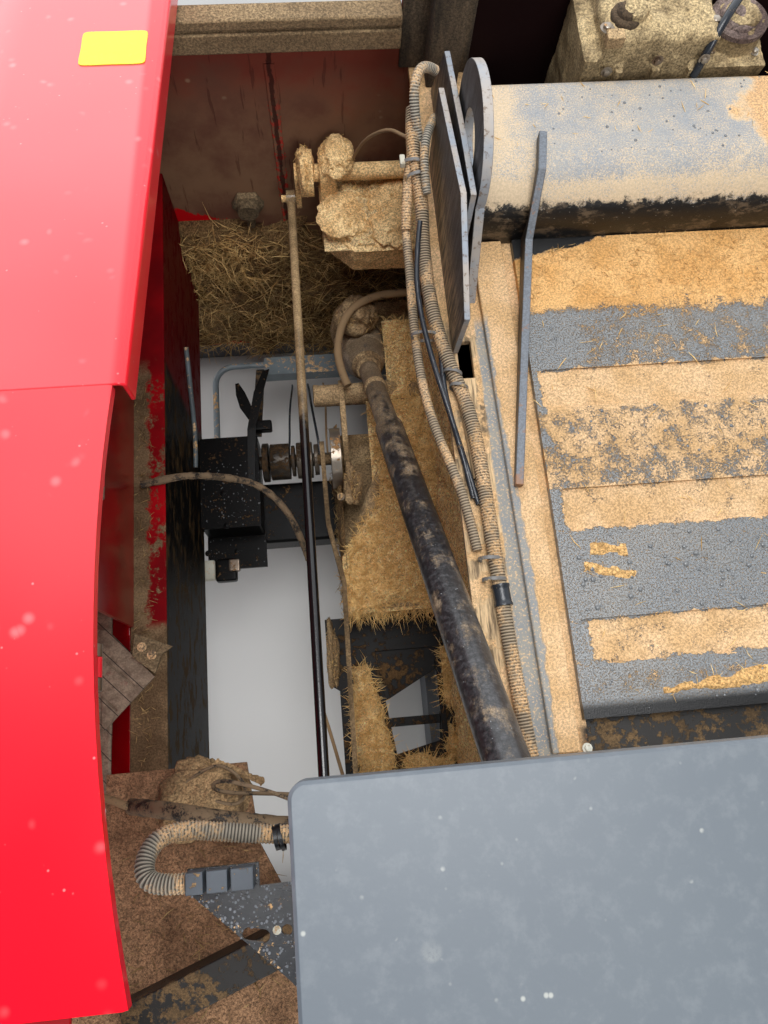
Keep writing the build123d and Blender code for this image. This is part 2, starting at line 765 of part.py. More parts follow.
# Strap that hangs on the idler's axle and runs back to the lower bracket
strap_points = ((-363, 115), (-361, -47), (-338, -168), (-341, -356), (-344, -645))
strap_low_z = 600.0
strap_high_z = 625.0
with BuildPart() as bent_strap:
    with BuildSketch(level(strap_low_z)):
        with BuildLine():
            FilletPolyline(*strap_points, radius=60)
        trace(line_width=9)
    extrude(amount=strap_high_z - strap_low_z)
    with BuildSketch(along(strap_points[0][0] - 4.5)):
        slot_between((idler_y, idler_z), (idler_y, strap_high_z - 18), 18)
        with Locations((idler_y, idler_z)):
            Circle(axle_d / 2 + pin_gap, mode=Mode.SUBTRACT)
    extrude(amount=9)

with BuildPart() as lower_bracket:
    box_between((-366, -660, 540), (wall_outer_x, -600, strap_low_z))
    box_between((-366, -660 + sheet, 540), (wall_outer_x, -600 - sheet, strap_low_z - sheet), Mode.SUBTRACT)

# Chain case on the wall: a shaped cover over a lower box that takes the hub shaft's end
case_outline = (
    (wall_outer_x, 150),
    (-227, 150),
    (-330, -90),
    (-330, -215),
    (wall_outer_x, -215),
)
with BuildPart() as chain_case:
    with BuildSketch(level(470)):
        Polygon(*case_outline, align=None)
    extrude(amount=90)
    fillet(chain_case.faces().sort_by(Axis.Z)[-1].edges().filter_by(Axis.X, reverse=True), 14)
    box_between((-330, -200, 300), (wall_outer_x, 200, 470))
    with BuildSketch(along(-330)):
        with Locations((hub_y, hub_z)):
            Circle(hub_shaft_d / 2 + pin_gap)
    extrude(amount=18, mode=Mode.SUBTRACT)

# Drive box on the side rail, with its folded foot
box_right_x = -509.0
with BuildPart() as drive_box:
    box_between((side_rail_x, 5, drive_box_low_z), (box_right_x, 218, drive_box_top_z))
    fillet(drive_box.edges().filter_by(Axis.Z), 6)
    box_between((side_rail_x, -70, drive_box_low_z - sheet), (box_right_x + 2, 40, drive_box_low_z))
    with BuildSketch(along(box_right_x)):
        with Locations((hub_y, hub_z)):
            Circle(hub_shaft_d / 2 + pin_gap)
    extrude(amount=-18, mode=Mode.SUBTRACT)

# Hub shaft between drive box and chain case: (start x, length, radius)
hub_table = ((-502.0, 14.0, 45.0), (-484.0, 44.0, 42.0), (-436.0, 8.0, 36.0), (-424.0, 36.0, 42.0), (-384.0, 10.0, 36.0))
with BuildPart() as hub_shaft:
    with BuildSketch(along(box_right_x - 15)):
        with Locations((hub_y, hub_z)):
            Circle(hub_shaft_d / 2)
    extrude(amount=-315 - box_right_x + 15)
    for hub_x, hub_length, hub_radius in hub_table:
        with BuildSketch(along(hub_x)):
            with Locations((hub_y, hub_z)):
                RegularPolygon(hub_radius, hub_sides)
        extrude(amount=hub_length)

# Cross housing under the hub shaft, from the drive box over to the chain case
with BuildPart() as cross_housing:
    box_between((-545, -10, housing_top_z - 65), (-330 - seat_gap, 134, housing_top_z))
    chamfer(cross_housing.faces().sort_by(Axis.Z)[-1].edges(), 5)
    box_between((-540, 50, housing_top_z - 5), (-515, 120, drive_box_low_z - seat_gap))

# Lower shelf behind the chain case: a plate with an opening, a cross bar and a dark corner plate
shelf_under_z = 460.0
lower_shelf_outline = (
    (wall_outer_x - seat_gap, -215 - seat_gap),
    (-384, -215 - seat_gap),
    (-384, -350),
    (-362, -365),
    (-362, -600),
    (wall_outer_x - seat_gap, -600),
)
with BuildPart() as lower_shelf:
    with BuildSketch(level(shelf_under_z)):
        Polygon(*lower_shelf_outline, align=None)
        Polygon((-283, -290), (-255, -500), (-165, -480), (-150, -290), align=None, mode=Mode.SUBTRACT)
    extrude(amount=sheet)
    with BuildSketch(level(shelf_under_z)):
        Polygon((-286, -285), (-148, -285), (-158, -335), (-282, -400), align=None)
    extrude(amount=-sheet)
    box_between((-266, -446, shelf_under_z - 12), (-158, -428, shelf_under_z + sheet))
    box_between((-160, -475, shelf_under_z), (-148, -320, shelf_under_z + 20))

# Channel bar across the bay's foot, with the pipe loop and a stay up to the drive box
with BuildPart() as channel_bar:
    box_between((-500, 455, 240), (wall_outer_x, 505, 280))
    box_between((-500 + sheet, 455 + sheet, 240), (wall_outer_x, 505 - sheet, 280 - sheet), Mode.SUBTRACT)

with BuildPart() as pipe_loop:
    with BuildLine() as pipe_line:
        FilletPolyline(
            (-500 - seat_gap, 490, 268),
            (-628, 490, 268),
            (-628, 150, 268),
            (-628, 150, drive_box_low_z - seat_gap),
            radius=50,
        )
    with BuildSketch(Plane(origin=pipe_line.line @ 0, z_dir=pipe_line.line % 0)):
        RegularPolygon(8, hose_sides)
    sweep()

with BuildPart() as stay_strap:
    with BuildSketch(along(-522)):
        Polygon((218, drive_box_top_z), (218, drive_box_top_z - 10), (455, 280), (472, 280), align=None)
    extrude(amount=22)


def hose(points, diameter):
    """Hose along points chosen by hand: straight runs joined by tangent arcs as large as they allow.

    Its section is an eight-sided polygon whose corners lie on the hose's round.
    """
    spots = [Vector(*p) for p in points]
    radii = []
    for before, here, after in zip(spots, spots[1:], spots[2:]):
        run_in = here - before
        run_out = after - here
        half_turn = radians(run_in.get_angle(run_out)) / 2
        radii.append(0.45 * min(run_in.length, run_out.length) / tan(half_turn))
    print("hose radii", [round(r) for r in radii])
    with BuildPart() as tube:
        with BuildLine() as route:
            FilletPolyline(*points, radius=radii)
        with BuildSketch(Plane(origin=route.line @ 0, z_dir=route.line % 0)):
            RegularPolygon(diameter / 2, hose_sides)
        sweep()
    return tube.part


conduit_main = hose(
    (
        (-112, -520, 1049.3),
        (-119, -420, 1049.3),
        (-125, -300, 1049.3),
        (-128, -180, 1049.3),
        (-131, -70, 1049.3),
        (-139, 5, 1049.3),
        (-160, 70, 1053),
        (-178, 160, 1058),
        (-182, 260, 1070),
        (-178, 340, 1095),
        (-190, 410, 1120),
        (-182, 470, 1130),
    ),
    22,
)
conduit_branch = hose(
    (
        (-150, -218, 1046),
        (-158, -150, 1046),
        (-173, -90, 1046),
        (-192, -20, 1040),
        (-203, 60, 1036),
        (-205, 160, 1040),
        (-203, 240, 1050),
        (-204, 310, 1062),
    ),
    15,
)
black_cable = hose(
    (
        (-146, -140, 1043),
        (-153, -80, 1043),
        (-171, -10, 1068),
        (-186, 60, 1072),
        (-199, 150, 1078),
        (-199, 220, 1086),
        (-186, 290, 1098),
    ),
    9,
)
hose_across = hose(
    (
        (side_rail_x - 40, -4, 808),
        (-620, 8, 808),
        (-580, 16, 780),
        (-540, 24, 736),
        (-490, 18, 710),
        (-448, -14, 680),
        (-420, -60, 640),
        (-405, -110, 590),
    ),
    14,
)
hose_arch = hose(
    (
        (-300, 250, 620),
        (-318, 300, 622),
        (-312, 370, 626),
        (-282, 425, 632),
        (-230, 450, 636),
        (-175, 452, 640),
        (wall_outer_x - seat_gap, 452, 640),
    ),
    18,
)

# Floor sheet, slatted flap and housing at the bay's rear
floor_top_z = side_rail_top_z + sheet
with BuildPart() as floor_sheet:
    with BuildSketch(level(side_rail_top_z)):
        Polygon(
            (-735, -480),
            (-515, -480),
            (-500, -600),
            (-455, -690),
            (-400, -760),
            (-400, -900),
            (-640 + seat_gap, -900),
            (-640 + seat_gap, -858),
            (-735, -858),
            align=None,
        )
    extrude(amount=sheet)

with BuildPart() as step_flap:
    with BuildSketch(level(side_rail_top_z)):
        Polygon((-748, -250), (-737, -250), (-659, -334), (-742, -416), align=None)
    extrude(amount=sheet)
    for slat_start, slat_length in (((-748, -292), 79), ((-748, -355), 40)):
        with BuildSketch(level(floor_top_z)):
            with Locations(slat_start):
                Rectangle(slat_length, 3, rotation=-44, align=(Align.MIN, Align.CENTER))
        extrude(amount=-2, mode=Mode.SUBTRACT)

# Bracket on the flap's inner corner, and the skirt that slopes down outside the rail
with BuildPart() as flap_bracket:
    with BuildSketch(level(floor_top_z)):
        Polygon((-690, -262), (-628, -288), (-646, -300), (-657, -330), (-694, -300), align=None)
    extrude(amount=sheet)

with BuildPart() as skirt_sheet:
    with BuildSketch(across(-262)):
        Polygon((-700 - seat_gap, 793), (-700 - seat_gap, 799), (-751, 748), (-751, 742), align=None)
    extrude(amount=300)

with BuildPart() as latch_housing:
    with BuildSketch(level(floor_top_z)):
        Polygon((-641, -577), (-641, -500), (-615, -484), (-545, -484), (-522, -516), (-522, -577), align=None)
    extrude(amount=58)
    chamfer(latch_housing.faces().sort_by(Axis.Z)[-1].edges(), 8)
    with BuildSketch(level(floor_top_z + 38)):
        Polygon(
            (-575, -500),
            (-575, -486),
            (-553, -472),
            (-482, -506),
            (-490, -515),
            (-540, -489),
            (-545, -500),
            align=None,
        )
    extrude(amount=sheet)

brace_start = Vector(-690, -815, floor_top_z)
brace_end = Vector(wall_outer_x - seat_gap, -612, floor_top_z)
brace_run = (brace_end - brace_start).normalized()
with BuildPart() as rear_brace:
    with BuildSketch(Plane(origin=brace_start, x_dir=(0, 0, 1), z_dir=brace_run)):
        rect_between((0, -25), (60, 25))
    extrude(amount=(brace_end - brace_start).length - 10)

# Corner gusset on the wall's flange, with its slot and the rear arm's cheek
gusset_top_z = 1100.0
cheek_x = lever_x + 10 + running_gap
with BuildPart() as corner_gusset:
    with BuildSketch(level(gusset_top_z)):
        Polygon((-549, -616), (-120, -606), (-120, -880), (-330, -830), (-438, -716), align=None)
        rect_between((-552, -616), (-468, -588))
        with Locations((-474, -666)):
            SlotOverall(32, 14, rotation=-12, mode=Mode.SUBTRACT)
        with Locations((-438, -664)):
            Circle(6, mode=Mode.SUBTRACT)
    extrude(amount=-sheet)
    box_between((-160, -820, flange_top_z), (-120, -620, gusset_top_z - sheet))
    with BuildSketch(along(cheek_x)):
        slot_between((rear_arm_y, gusset_top_z - sheet - 2), (rear_arm_y, rear_arm_z), 24)
        with Locations((rear_arm_y, rear_arm_z)):
            Circle(link_pin_d / 2 + pin_gap, mode=Mode.SUBTRACT)
    extrude(amount=10)

with BuildPart() as connector_blocks:
    for block_x, block_width in ((-550, 20), (-526, 24), (-498, 26)):
        box_between((block_x, -613, gusset_top_z), (block_x + block_width, -589, gusset_top_z + 24))

hose_rear = hose(
    (
        (side_rail_x - 50, -530, 822),
        (-620, -534, 900),
        (-560, -548, 916),
        (-500, -560, 912),
        (-440, -572, 905),
        (-360, -580, 900),
        (-260, -584, 900),
        (wall_outer_x - seat_gap, -586, 900),
    ),
    26,
)
conduit_rear = hose(
    (
        (-551, -601, gusset_top_z + 12.4),
        (-592, -602, gusset_top_z + 12.4),
        (-604, -578, 1103),
        (-592, -552, 1085),
        (-560, -546, 1070),
        (-510, -556, 1058),
        (-440, -566, 1051),
        (-360, -572, 1050),
        (-260, -578, 1050),
        (-150, -581, 1050.3),
    ),
    24,
)

pieces = {
    "frame_rails": frame_rails.part,
    "wall_left": wall_left,
    "wall_right": wall_right,
    "deck": deck.part,
    "rear_plate": rear_plate.part,
    "edge_strips": edge_strips.part,
    "cross_beam": cross_beam.part,
    "eye_plates": eye_plates.part,
    "gusset_plates": gusset_plates.part,
    "flat_bar": flat_bar.part,
    "bulkhead": bulkhead.part,
    "top_rail": top_rail.part,
    "corner_post": corner_post.part,
    "level_sensor": level_sensor.part,
    "main_gearbox": main_gearbox.part,
    "side_rail": side_rail.part,
    "side_liner": side_liner.part,
    "shield_hinges": shield_hinges.part,
    "shield_rear": shield_rear.part,
    "shield_front": shield_front.part,
    "hood": hood.part,
    "hood_posts": hood_posts.part,
    "guard_lower": guard_lower.part,
    "guard_upper": guard_upper.part,
    "joint_gearbox": joint_gearbox.part,
    "top_gearbox": top_gearbox.part,
    "trip_bracket": trip_bracket.part,
    "trip_shaft": trip_shaft.part,
    "linkage_rod": linkage_rod.part,
    "rear_arm": rear_arm.part,
    "tension_tube": tension_tube.part,
    "idler_carrier": idler_carrier.part,
    "idler_wheel": idler_wheel.part,
    "bent_strap": bent_strap.part,
    "lower_bracket": lower_bracket.part,
    "chain_case": chain_case.part,
    "drive_box": drive_box.part,
    "hub_shaft": hub_shaft.part,
    "cross_housing": cross_housing.part,
    "lower_shelf": lower_shelf.part,
    "channel_bar": channel_bar.part,
    "pipe_loop": pipe_loop.part,
    "stay_strap": stay_strap.part,
    "conduit_main": conduit_main,
    "conduit_branch": conduit_branch,
    "black_cable": black_cable,
    "hose_across": hose_across,
    "hose_arch": hose_arch,
    "floor_sheet": floor_sheet.part,
    "step_flap": step_flap.part,
    "flap_bracket": flap_bracket.part,
    "skirt_sheet": skirt_sheet.part,
    "latch_housing": latch_housing.part,
    "rear_brace": rear_brace.part,
    "corner_gusset": corner_gusset.part,
    "connector_blocks": connector_blocks.part,
    "hose_rear": hose_rear,
    "conduit_rear": conduit_rear,
}
for name, piece in pieces.items():
    piece.label = name
    export_step(piece, f"parts/{name}.step")
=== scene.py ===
# %% [markdown]
# # The drive bay of a large square baler
#
# The construction comes from a imported frame: plates, rails, gearboxes, covers and the trip linkage, all at
# their real size. This lesson dresses it. Painted sheets get their gloss and their dust, ribbed conduits and
# straw are worked out as surfaces with numpy, and sawdust is laid on the deck as a thin layer with its own
# thickness. We start by loading the frame.

# %% Load the frame
import json

import bmesh
import bpy
import numpy as np
from mathutils import Matrix
from mathutils.bvhtree import BVHTree


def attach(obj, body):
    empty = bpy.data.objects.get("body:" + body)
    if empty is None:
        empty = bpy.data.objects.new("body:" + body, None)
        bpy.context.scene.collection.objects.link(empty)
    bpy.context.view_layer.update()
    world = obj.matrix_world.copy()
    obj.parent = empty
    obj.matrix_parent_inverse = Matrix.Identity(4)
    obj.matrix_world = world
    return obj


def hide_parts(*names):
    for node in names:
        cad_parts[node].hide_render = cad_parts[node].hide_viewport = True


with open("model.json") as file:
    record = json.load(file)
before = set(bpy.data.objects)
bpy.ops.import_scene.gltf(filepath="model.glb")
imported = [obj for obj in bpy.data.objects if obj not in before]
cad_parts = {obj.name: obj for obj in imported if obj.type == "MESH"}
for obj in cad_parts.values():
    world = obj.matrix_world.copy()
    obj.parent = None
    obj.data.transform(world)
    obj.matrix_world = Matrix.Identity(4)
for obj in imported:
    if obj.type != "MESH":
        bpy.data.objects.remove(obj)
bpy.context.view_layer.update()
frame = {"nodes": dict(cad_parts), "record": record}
nodes = frame["nodes"]
print("nodes in the frame:", len(nodes))

# %% [markdown]
# ## Camera
#
# The picture looks down into the bay from about a metre over the deck, with a wide lens. The three rows below
# are the camera's right, its down and its forward directions, found by lining up the deck's edges and the
# upright walls. Blender's camera looks along its own -Z with +Y up, so two of the rows change sign. The rows
# are rounded, and splitting them into two turns and leaving out the stretch between makes them square again.

# %% Camera over the bay
camera_place = np.array([-0.35, -0.45, 2.10])
look_rows = np.array([[0.995, -0.087, 0.044], [-0.071, -0.958, -0.276], [0.066, 0.272, -0.960]])
camera_data = bpy.data.cameras.new("bay_camera")
camera_data.lens = 27.0
camera_data.clip_start = 0.01
camera = bpy.data.objects.new("bay_camera", camera_data)
bpy.context.scene.collection.objects.link(camera)
first_turn, _, last_turn = np.linalg.svd((look_rows * np.array([[1.0], [-1.0], [-1.0]])).T)
camera_axes = first_turn @ last_turn
camera.matrix_world = Matrix.Translation(camera_place) @ Matrix(camera_axes.tolist()).to_4x4()
bpy.context.scene.camera = camera
print("camera looks along", np.round(-camera_axes[:, 2], 3))

# %% [markdown]
# ## Light and floor
#
# The machine stands outside under a bright, even sky. A soft world, a large overhead panel and a weaker one
# from the front give that light: open surfaces are bright, and the bay falls off into shade by itself. The
# floor is plain and pale.


# %% Sky, panels and floor
def srgb(red, green, blue):
    """Colour given in 0 to 255 steps, turned into the linear values that shaders work with."""
    c = np.array([red, green, blue]) / 255.0
    linear = np.where(c <= 0.04045, c / 12.92, ((c + 0.055) / 1.055) ** 2.4)
    return (*linear.tolist(), 1.0)


def unit(vectors):
    """The vectors, each divided by its own length."""
    vectors = np.asarray(vectors, dtype=float)
    return vectors / np.linalg.norm(vectors, axis=-1, keepdims=True)


def light_panel(name, place, target, size, power):
    """Square area light at place that faces target."""
    data = bpy.data.lights.new(name, "AREA")
    data.shape = "SQUARE"
    data.size = size
    data.energy = power
    panel = bpy.data.objects.new(name, data)
    bpy.context.scene.collection.objects.link(panel)
    away = unit(np.array(place) - np.array(target))
    side = unit(np.cross([0.0, 1.0, 0.0], away))
    axes = np.stack([side, np.cross(away, side), away], axis=1)
    panel.matrix_world = Matrix.Translation(place) @ Matrix(axes.tolist()).to_4x4()


def overcast_sky():
    """World that is brighter towards the machine's front than straight up or behind."""
    world = bpy.data.worlds.new("overcast_sky")
    world.use_nodes = True
    tree = world.node_tree
    direction = tree.nodes.new("ShaderNodeTexCoord").outputs["Generated"]
    parts = tree.nodes.new("ShaderNodeSeparateXYZ")
    brightness = tree.nodes.new("ShaderNodeMapRange")
    brightness.interpolation_type = "SMOOTHSTEP"
    tree.links.new(direction, parts.inputs[0])
    tree.links.new(parts.outputs["Y"], brightness.inputs[0])
    for socket, number in zip(brightness.inputs[1:5], (-0.3, 0.95, 0.12, 1.9)):
        socket.default_value = number
    background = tree.nodes["Background"]
    background.inputs["Color"].default_value = (0.95, 0.97, 1.0, 1.0)
    tree.links.new(brightness.outputs[0], background.inputs["Strength"])
    return world


bpy.context.scene.world = overcast_sky()
bpy.context.scene.view_settings.view_transform = "Standard"
light_panel("overhead_panel", (-0.15, 0.0, 5.0), (-0.3, 0.0, 0.8), 2.2, 130.0)
light_panel("rear_panel", (1.0, -5.5, 4.5), (-0.4, 0.3, 0.8), 3.0, 200.0)

# %% [markdown]
# ## Shader building blocks
#
# Every finish here is a Principled shader whose colour, roughness and bump come from nodes. Writing each node
# by hand hides the idea, so the small class below adds one node per call and returns its socket. All patterns
# read Object coordinates in metres, which stay put on each piece however it moves.


# %% One call per node
class Finish:
    """A material under construction."""

    def __init__(self, name, metallic=0.0, coat=0.0):
        self.material = bpy.data.materials.new(name)
        self.material.use_nodes = True
        self.tree = self.material.node_tree
        self.shader = self.tree.nodes["Principled BSDF"]
        self.shader.inputs["Metallic"].default_value = metallic
        self.shader.inputs["Coat Weight"].default_value = coat
        coordinates = self.tree.nodes.new("ShaderNodeTexCoord")
        self.place = coordinates.outputs["Object"]
        self.facing = coordinates.outputs["Normal"]

    def feed(self, socket, value):
        """Link a socket, or set a plain value."""
        if isinstance(value, bpy.types.NodeSocket):
            self.tree.links.new(value, socket)
        else:
            socket.default_value = value

    def part(self, vector, axis):
        """One of the three parts of a vector."""
        node = self.tree.nodes.new("ShaderNodeSeparateXYZ")
        self.feed(node.inputs[0], vector)
        return node.outputs[axis]

    def sums(self, operation, a, b=0.0, c=0.0):
        """Arithmetic on single values."""
        node = self.tree.nodes.new("ShaderNodeMath")
        node.operation = operation
        for socket, value in zip(node.inputs, (a, b, c)):
            self.feed(socket, value)
        return node.outputs[0]

    def plus(self, a, b):
        """Sum of two values."""
        return self.sums("ADD", a, b)

    def minus(self, a, b):
        """First value less the second."""
        return self.sums("SUBTRACT", a, b)

    def times(self, a, b):
        """Product of two values."""
        return self.sums("MULTIPLY", a, b)

    def most(self, a, b):
        """The larger of two values."""
        return self.sums("MAXIMUM", a, b)

    def scaled(self, value, factor, offset):
        """Value times a factor, plus an offset."""
        return self.sums("MULTIPLY_ADD", value, factor, offset)

    def stretched(self, factors):
        """Object coordinates scaled by a factor per axis."""
        node = self.tree.nodes.new("ShaderNodeMapping")
        self.feed(node.inputs["Vector"], self.place)
        node.inputs["Scale"].default_value = factors
        return node.outputs[0]

    def noise(self, scale, detail=4.0, roughness=0.55, where=None, distortion=0.0):
        """Cloudy noise, about 0.5 on average, with scale in cells per metre."""
        node = self.tree.nodes.new("ShaderNodeTexNoise")
        self.feed(node.inputs["Vector"], where or self.place)
        node.inputs["Scale"].default_value = scale
        node.inputs["Detail"].default_value = detail
        node.inputs["Roughness"].default_value = roughness
        node.inputs["Distortion"].default_value = distortion
        return node.outputs["Fac"]

    def spots(self, scale, where=None):
        """Distance to the nearest of many scattered points, in cells."""
        node = self.tree.nodes.new("ShaderNodeTexVoronoi")
        self.feed(node.inputs["Vector"], where or self.place)
        node.inputs["Scale"].default_value = scale
        return node.outputs["Distance"]

    def ramp(self, value, low, high, bottom=0.0, top=1.0):
        """Smooth step from bottom to top as value goes from low to high."""
        node = self.tree.nodes.new("ShaderNodeMapRange")
        node.interpolation_type = "SMOOTHSTEP"
        for socket, number in zip(node.inputs, (value, low, high, bottom, top)):
            self.feed(socket, number)
        return node.outputs[0]

    def ramp_straight(self, value, low, high):
        """Straight line from 0 to 1 as value goes from low to high."""
        node = self.tree.nodes.new("ShaderNodeMapRange")
        for socket, number in zip(node.inputs, (value, low, high)):
            self.feed(socket, number)
        return node.outputs[0]

    def mix(self, share, a, b):
        """Colour a where share is 0, colour b where it is 1."""
        node = self.tree.nodes.new("ShaderNodeMix")
        node.data_type = "RGBA"
        for socket, value in ((node.inputs[0], share), (node.inputs[6], a), (node.inputs[7], b)):
            self.feed(socket, value)
        return node.outputs[2]

    def drift(self, a, b, low, high, scale, detail, roughness=0.55):
        """Colour a where cloudy noise is under low, colour b where it is over high."""
        return self.mix(self.ramp(self.noise(scale, detail, roughness), low, high), a, b)

    def grain(self, colour, amount, scale=300.0):
        """The colour, lighter and darker from grain to grain by up to the amount."""
        node = self.tree.nodes.new("ShaderNodeVectorMath")
        node.operation = "SCALE"
        self.feed(node.inputs[0], colour[:3] if isinstance(colour, tuple) else colour)
        change = self.ramp(self.noise(scale, 2.0, 0.8), 0.36, 0.64, 1.0 - amount, 1.0 + amount)
        self.feed(node.inputs["Scale"], change)
        return node.outputs[0]

    def bump(self, *layers):
        """Stack of bumps, each (height socket, depth in metres, strength)."""
        normal = None
        for height, depth, strength in layers:
            node = self.tree.nodes.new("ShaderNodeBump")
            self.feed(node.inputs["Height"], height)
            node.inputs["Distance"].default_value = depth
            node.inputs["Strength"].default_value = strength
            if normal is not None:
                self.feed(node.inputs["Normal"], normal)
            normal = node.outputs[0]
        self.feed(self.shader.inputs["Normal"], normal)

    def finish(self, colour, roughness, coat_roughness=None):
        """Connect the colour and roughness and hand over the material."""
        self.feed(self.shader.inputs["Base Color"], colour)
        self.feed(self.shader.inputs["Roughness"], roughness)
        if coat_roughness is not None:
            self.shader.inputs["Coat Roughness"].default_value = coat_roughness
        return self.material


# %% [markdown]
# ## A plain floor
#
# The machine stands on a pale, matt floor. It is one large square, a hair lower than the feet of the frame,
# so that no two faces lie in one plane. A staged object is scenery and isn't part of the machine.


# %% Plain floor
def floor_finish():
    """Pale, even, matt floor with the faintest cloudiness."""
    f = Finish("floor_pale")
    cloud = f.ramp(f.noise(1.5, 2.0), 0.3, 0.7)
    return f.finish(f.mix(cloud, srgb(205, 205, 203), srgb(214, 214, 212)), 0.9)


floor_mesh = bpy.data.meshes.new("floor")
floor_half, floor_drop = 12.0, 0.002
corner_signs = ((-1, -1), (1, -1), (1, 1), (-1, 1))
floor_corners = [(floor_half * x, floor_half * y, -floor_drop) for x, y in corner_signs]
floor_mesh.from_pydata(floor_corners, [], [(0, 1, 2, 3)])
floor_mesh.materials.append(floor_finish())
floor = bpy.data.objects.new("floor", floor_mesh)
bpy.context.scene.collection.objects.link(floor)
print("floor spans", 2 * floor_half, "m")

# %% [markdown]
# ## Sawdust
#
# Chopped straw and dust lie on every piece of the bay, so their colour comes first and everything else is
# painted under it. Close up it is short pale fibres with brown bits between them. Three noises give that: a
# slow one that drifts between two tans, a fine one for the fibres, and scattered points for the dark bits.


# %% Dust colour
sawdust_light = srgb(226, 190, 146)
sawdust_dark = srgb(208, 170, 122)
straw_brown = srgb(150, 112, 70)


def dust_colour(f, light=sawdust_light, dark=sawdust_dark, bits=straw_brown):
    """Tan that drifts between two tones, with fibres of the darker bits."""
    tone = f.drift(dark, light, 0.36, 0.64, 16.0, 4.0)
    fibres = f.ramp(f.noise(520.0, 3.0, 0.8, distortion=1.2), 0.46, 0.62)
    crumbs = f.ramp(f.spots(170.0), 0.11, 0.05)
    bits_share = f.most(f.times(fibres, 0.5), f.times(crumbs, 0.6))
    return f.grain(f.mix(bits_share, tone, bits), 0.26)


# %% [markdown]
# ## Paint under dust, and dust alone
#
# Two families cover most of the bay. On open paint, dust lies in flecks and patches: its share is a noise cut
# at a height, so a low share leaves single flecks and a high one leaves islands of paint. On castings, levers
# and brackets no paint shows at all, and what varies is how thick and how dark the crust is.


# %% Two families of finish
def dusted(name, paint, worn, share, roughness, grain=90.0, metallic=0.0, dust=(), coat=0.0, gloss=0.5):
    """Paint in two tones with dust over a share of it, from 0 to 1; grain is its flecks in a metre."""
    f = Finish(name, metallic, coat)
    f.shader.inputs["Specular IOR Level"].default_value = gloss
    tone = f.drift(paint, worn, 0.35, 0.7, 9.0, 5.0)
    patches = f.noise(grain * 0.16, 5.0, 0.6)
    flecks = f.noise(grain, 4.0, 0.7)
    lift = f.times(f.most(f.part(f.facing, 2), 0.0), 0.07)
    height = f.plus(f.times(patches, 0.4), f.scaled(flecks, 0.6, lift))
    edge = 0.70 - 0.32 * share
    cover = f.ramp(height, edge - 0.02, edge + 0.03)
    f.bump((cover, 0.0010, 0.7), (f.noise(500.0, 3.0, 0.7), 0.0008, 0.3))
    dust_tone = dust_colour(f, *(srgb(*step) for step in dust))
    return f.finish(f.mix(cover, tone, dust_tone), f.ramp(cover, 0.0, 1.0, roughness, 0.95))


def crusted(name, light, dark, bits, streaks=(1.0, 1.0, 1.0)):
    """Nothing but caked dust: two tones by cloud, darker on upright faces, grainy, with pits darkened as
    painted shade.
    """
    f = Finish(name)
    cloud = f.ramp(f.noise(13.0, 5.0, 0.62, where=f.stretched(streaks)), 0.34, 0.66)
    upright = f.minus(1.0, f.ramp(f.part(f.facing, 2), 0.1, 0.8))
    tone = f.mix(f.times(cloud, f.scaled(upright, -0.55, 1.0)), dark, light)
    fibres = f.ramp(f.noise(380.0, 3.0, 0.7, distortion=0.8), 0.5, 0.66)
    # The pits are hollows in the bump, and their dark colour is painted shade.
    shaded_pits = f.ramp(f.spots(90.0), 0.14, 0.05)
    colour = f.mix(f.most(f.times(fibres, 0.5), f.times(shaded_pits, 0.6)), tone, bits)
    f.bump((cloud, 0.0030, 0.5), (fibres, 0.0016, 0.7), (shaded_pits, 0.0015, -0.5))
    return f.finish(f.grain(colour, 0.34, 260.0), 0.92)


# %% [markdown]
# ## A table of finishes
#
# Most pieces differ only in tone and in how much dust lies on them, so a table makes their finishes: the
# function that makes it, its name, its colours, and its other values by name. The colours were chosen for the
# sheets, castings and brackets that they belong to.

# %% Finishes of the plain pieces
finishes = {}
black_bits = (36, 30, 24)


def make_finishes(rows):
    """Finish for each row (maker, name, colours in 0 to 255 steps, other values by name)."""
    for maker, name, tones, others in rows:
        finishes[name] = maker(name, *(srgb(*tone) for tone in tones), **others)
    print("finishes:", len(finishes))


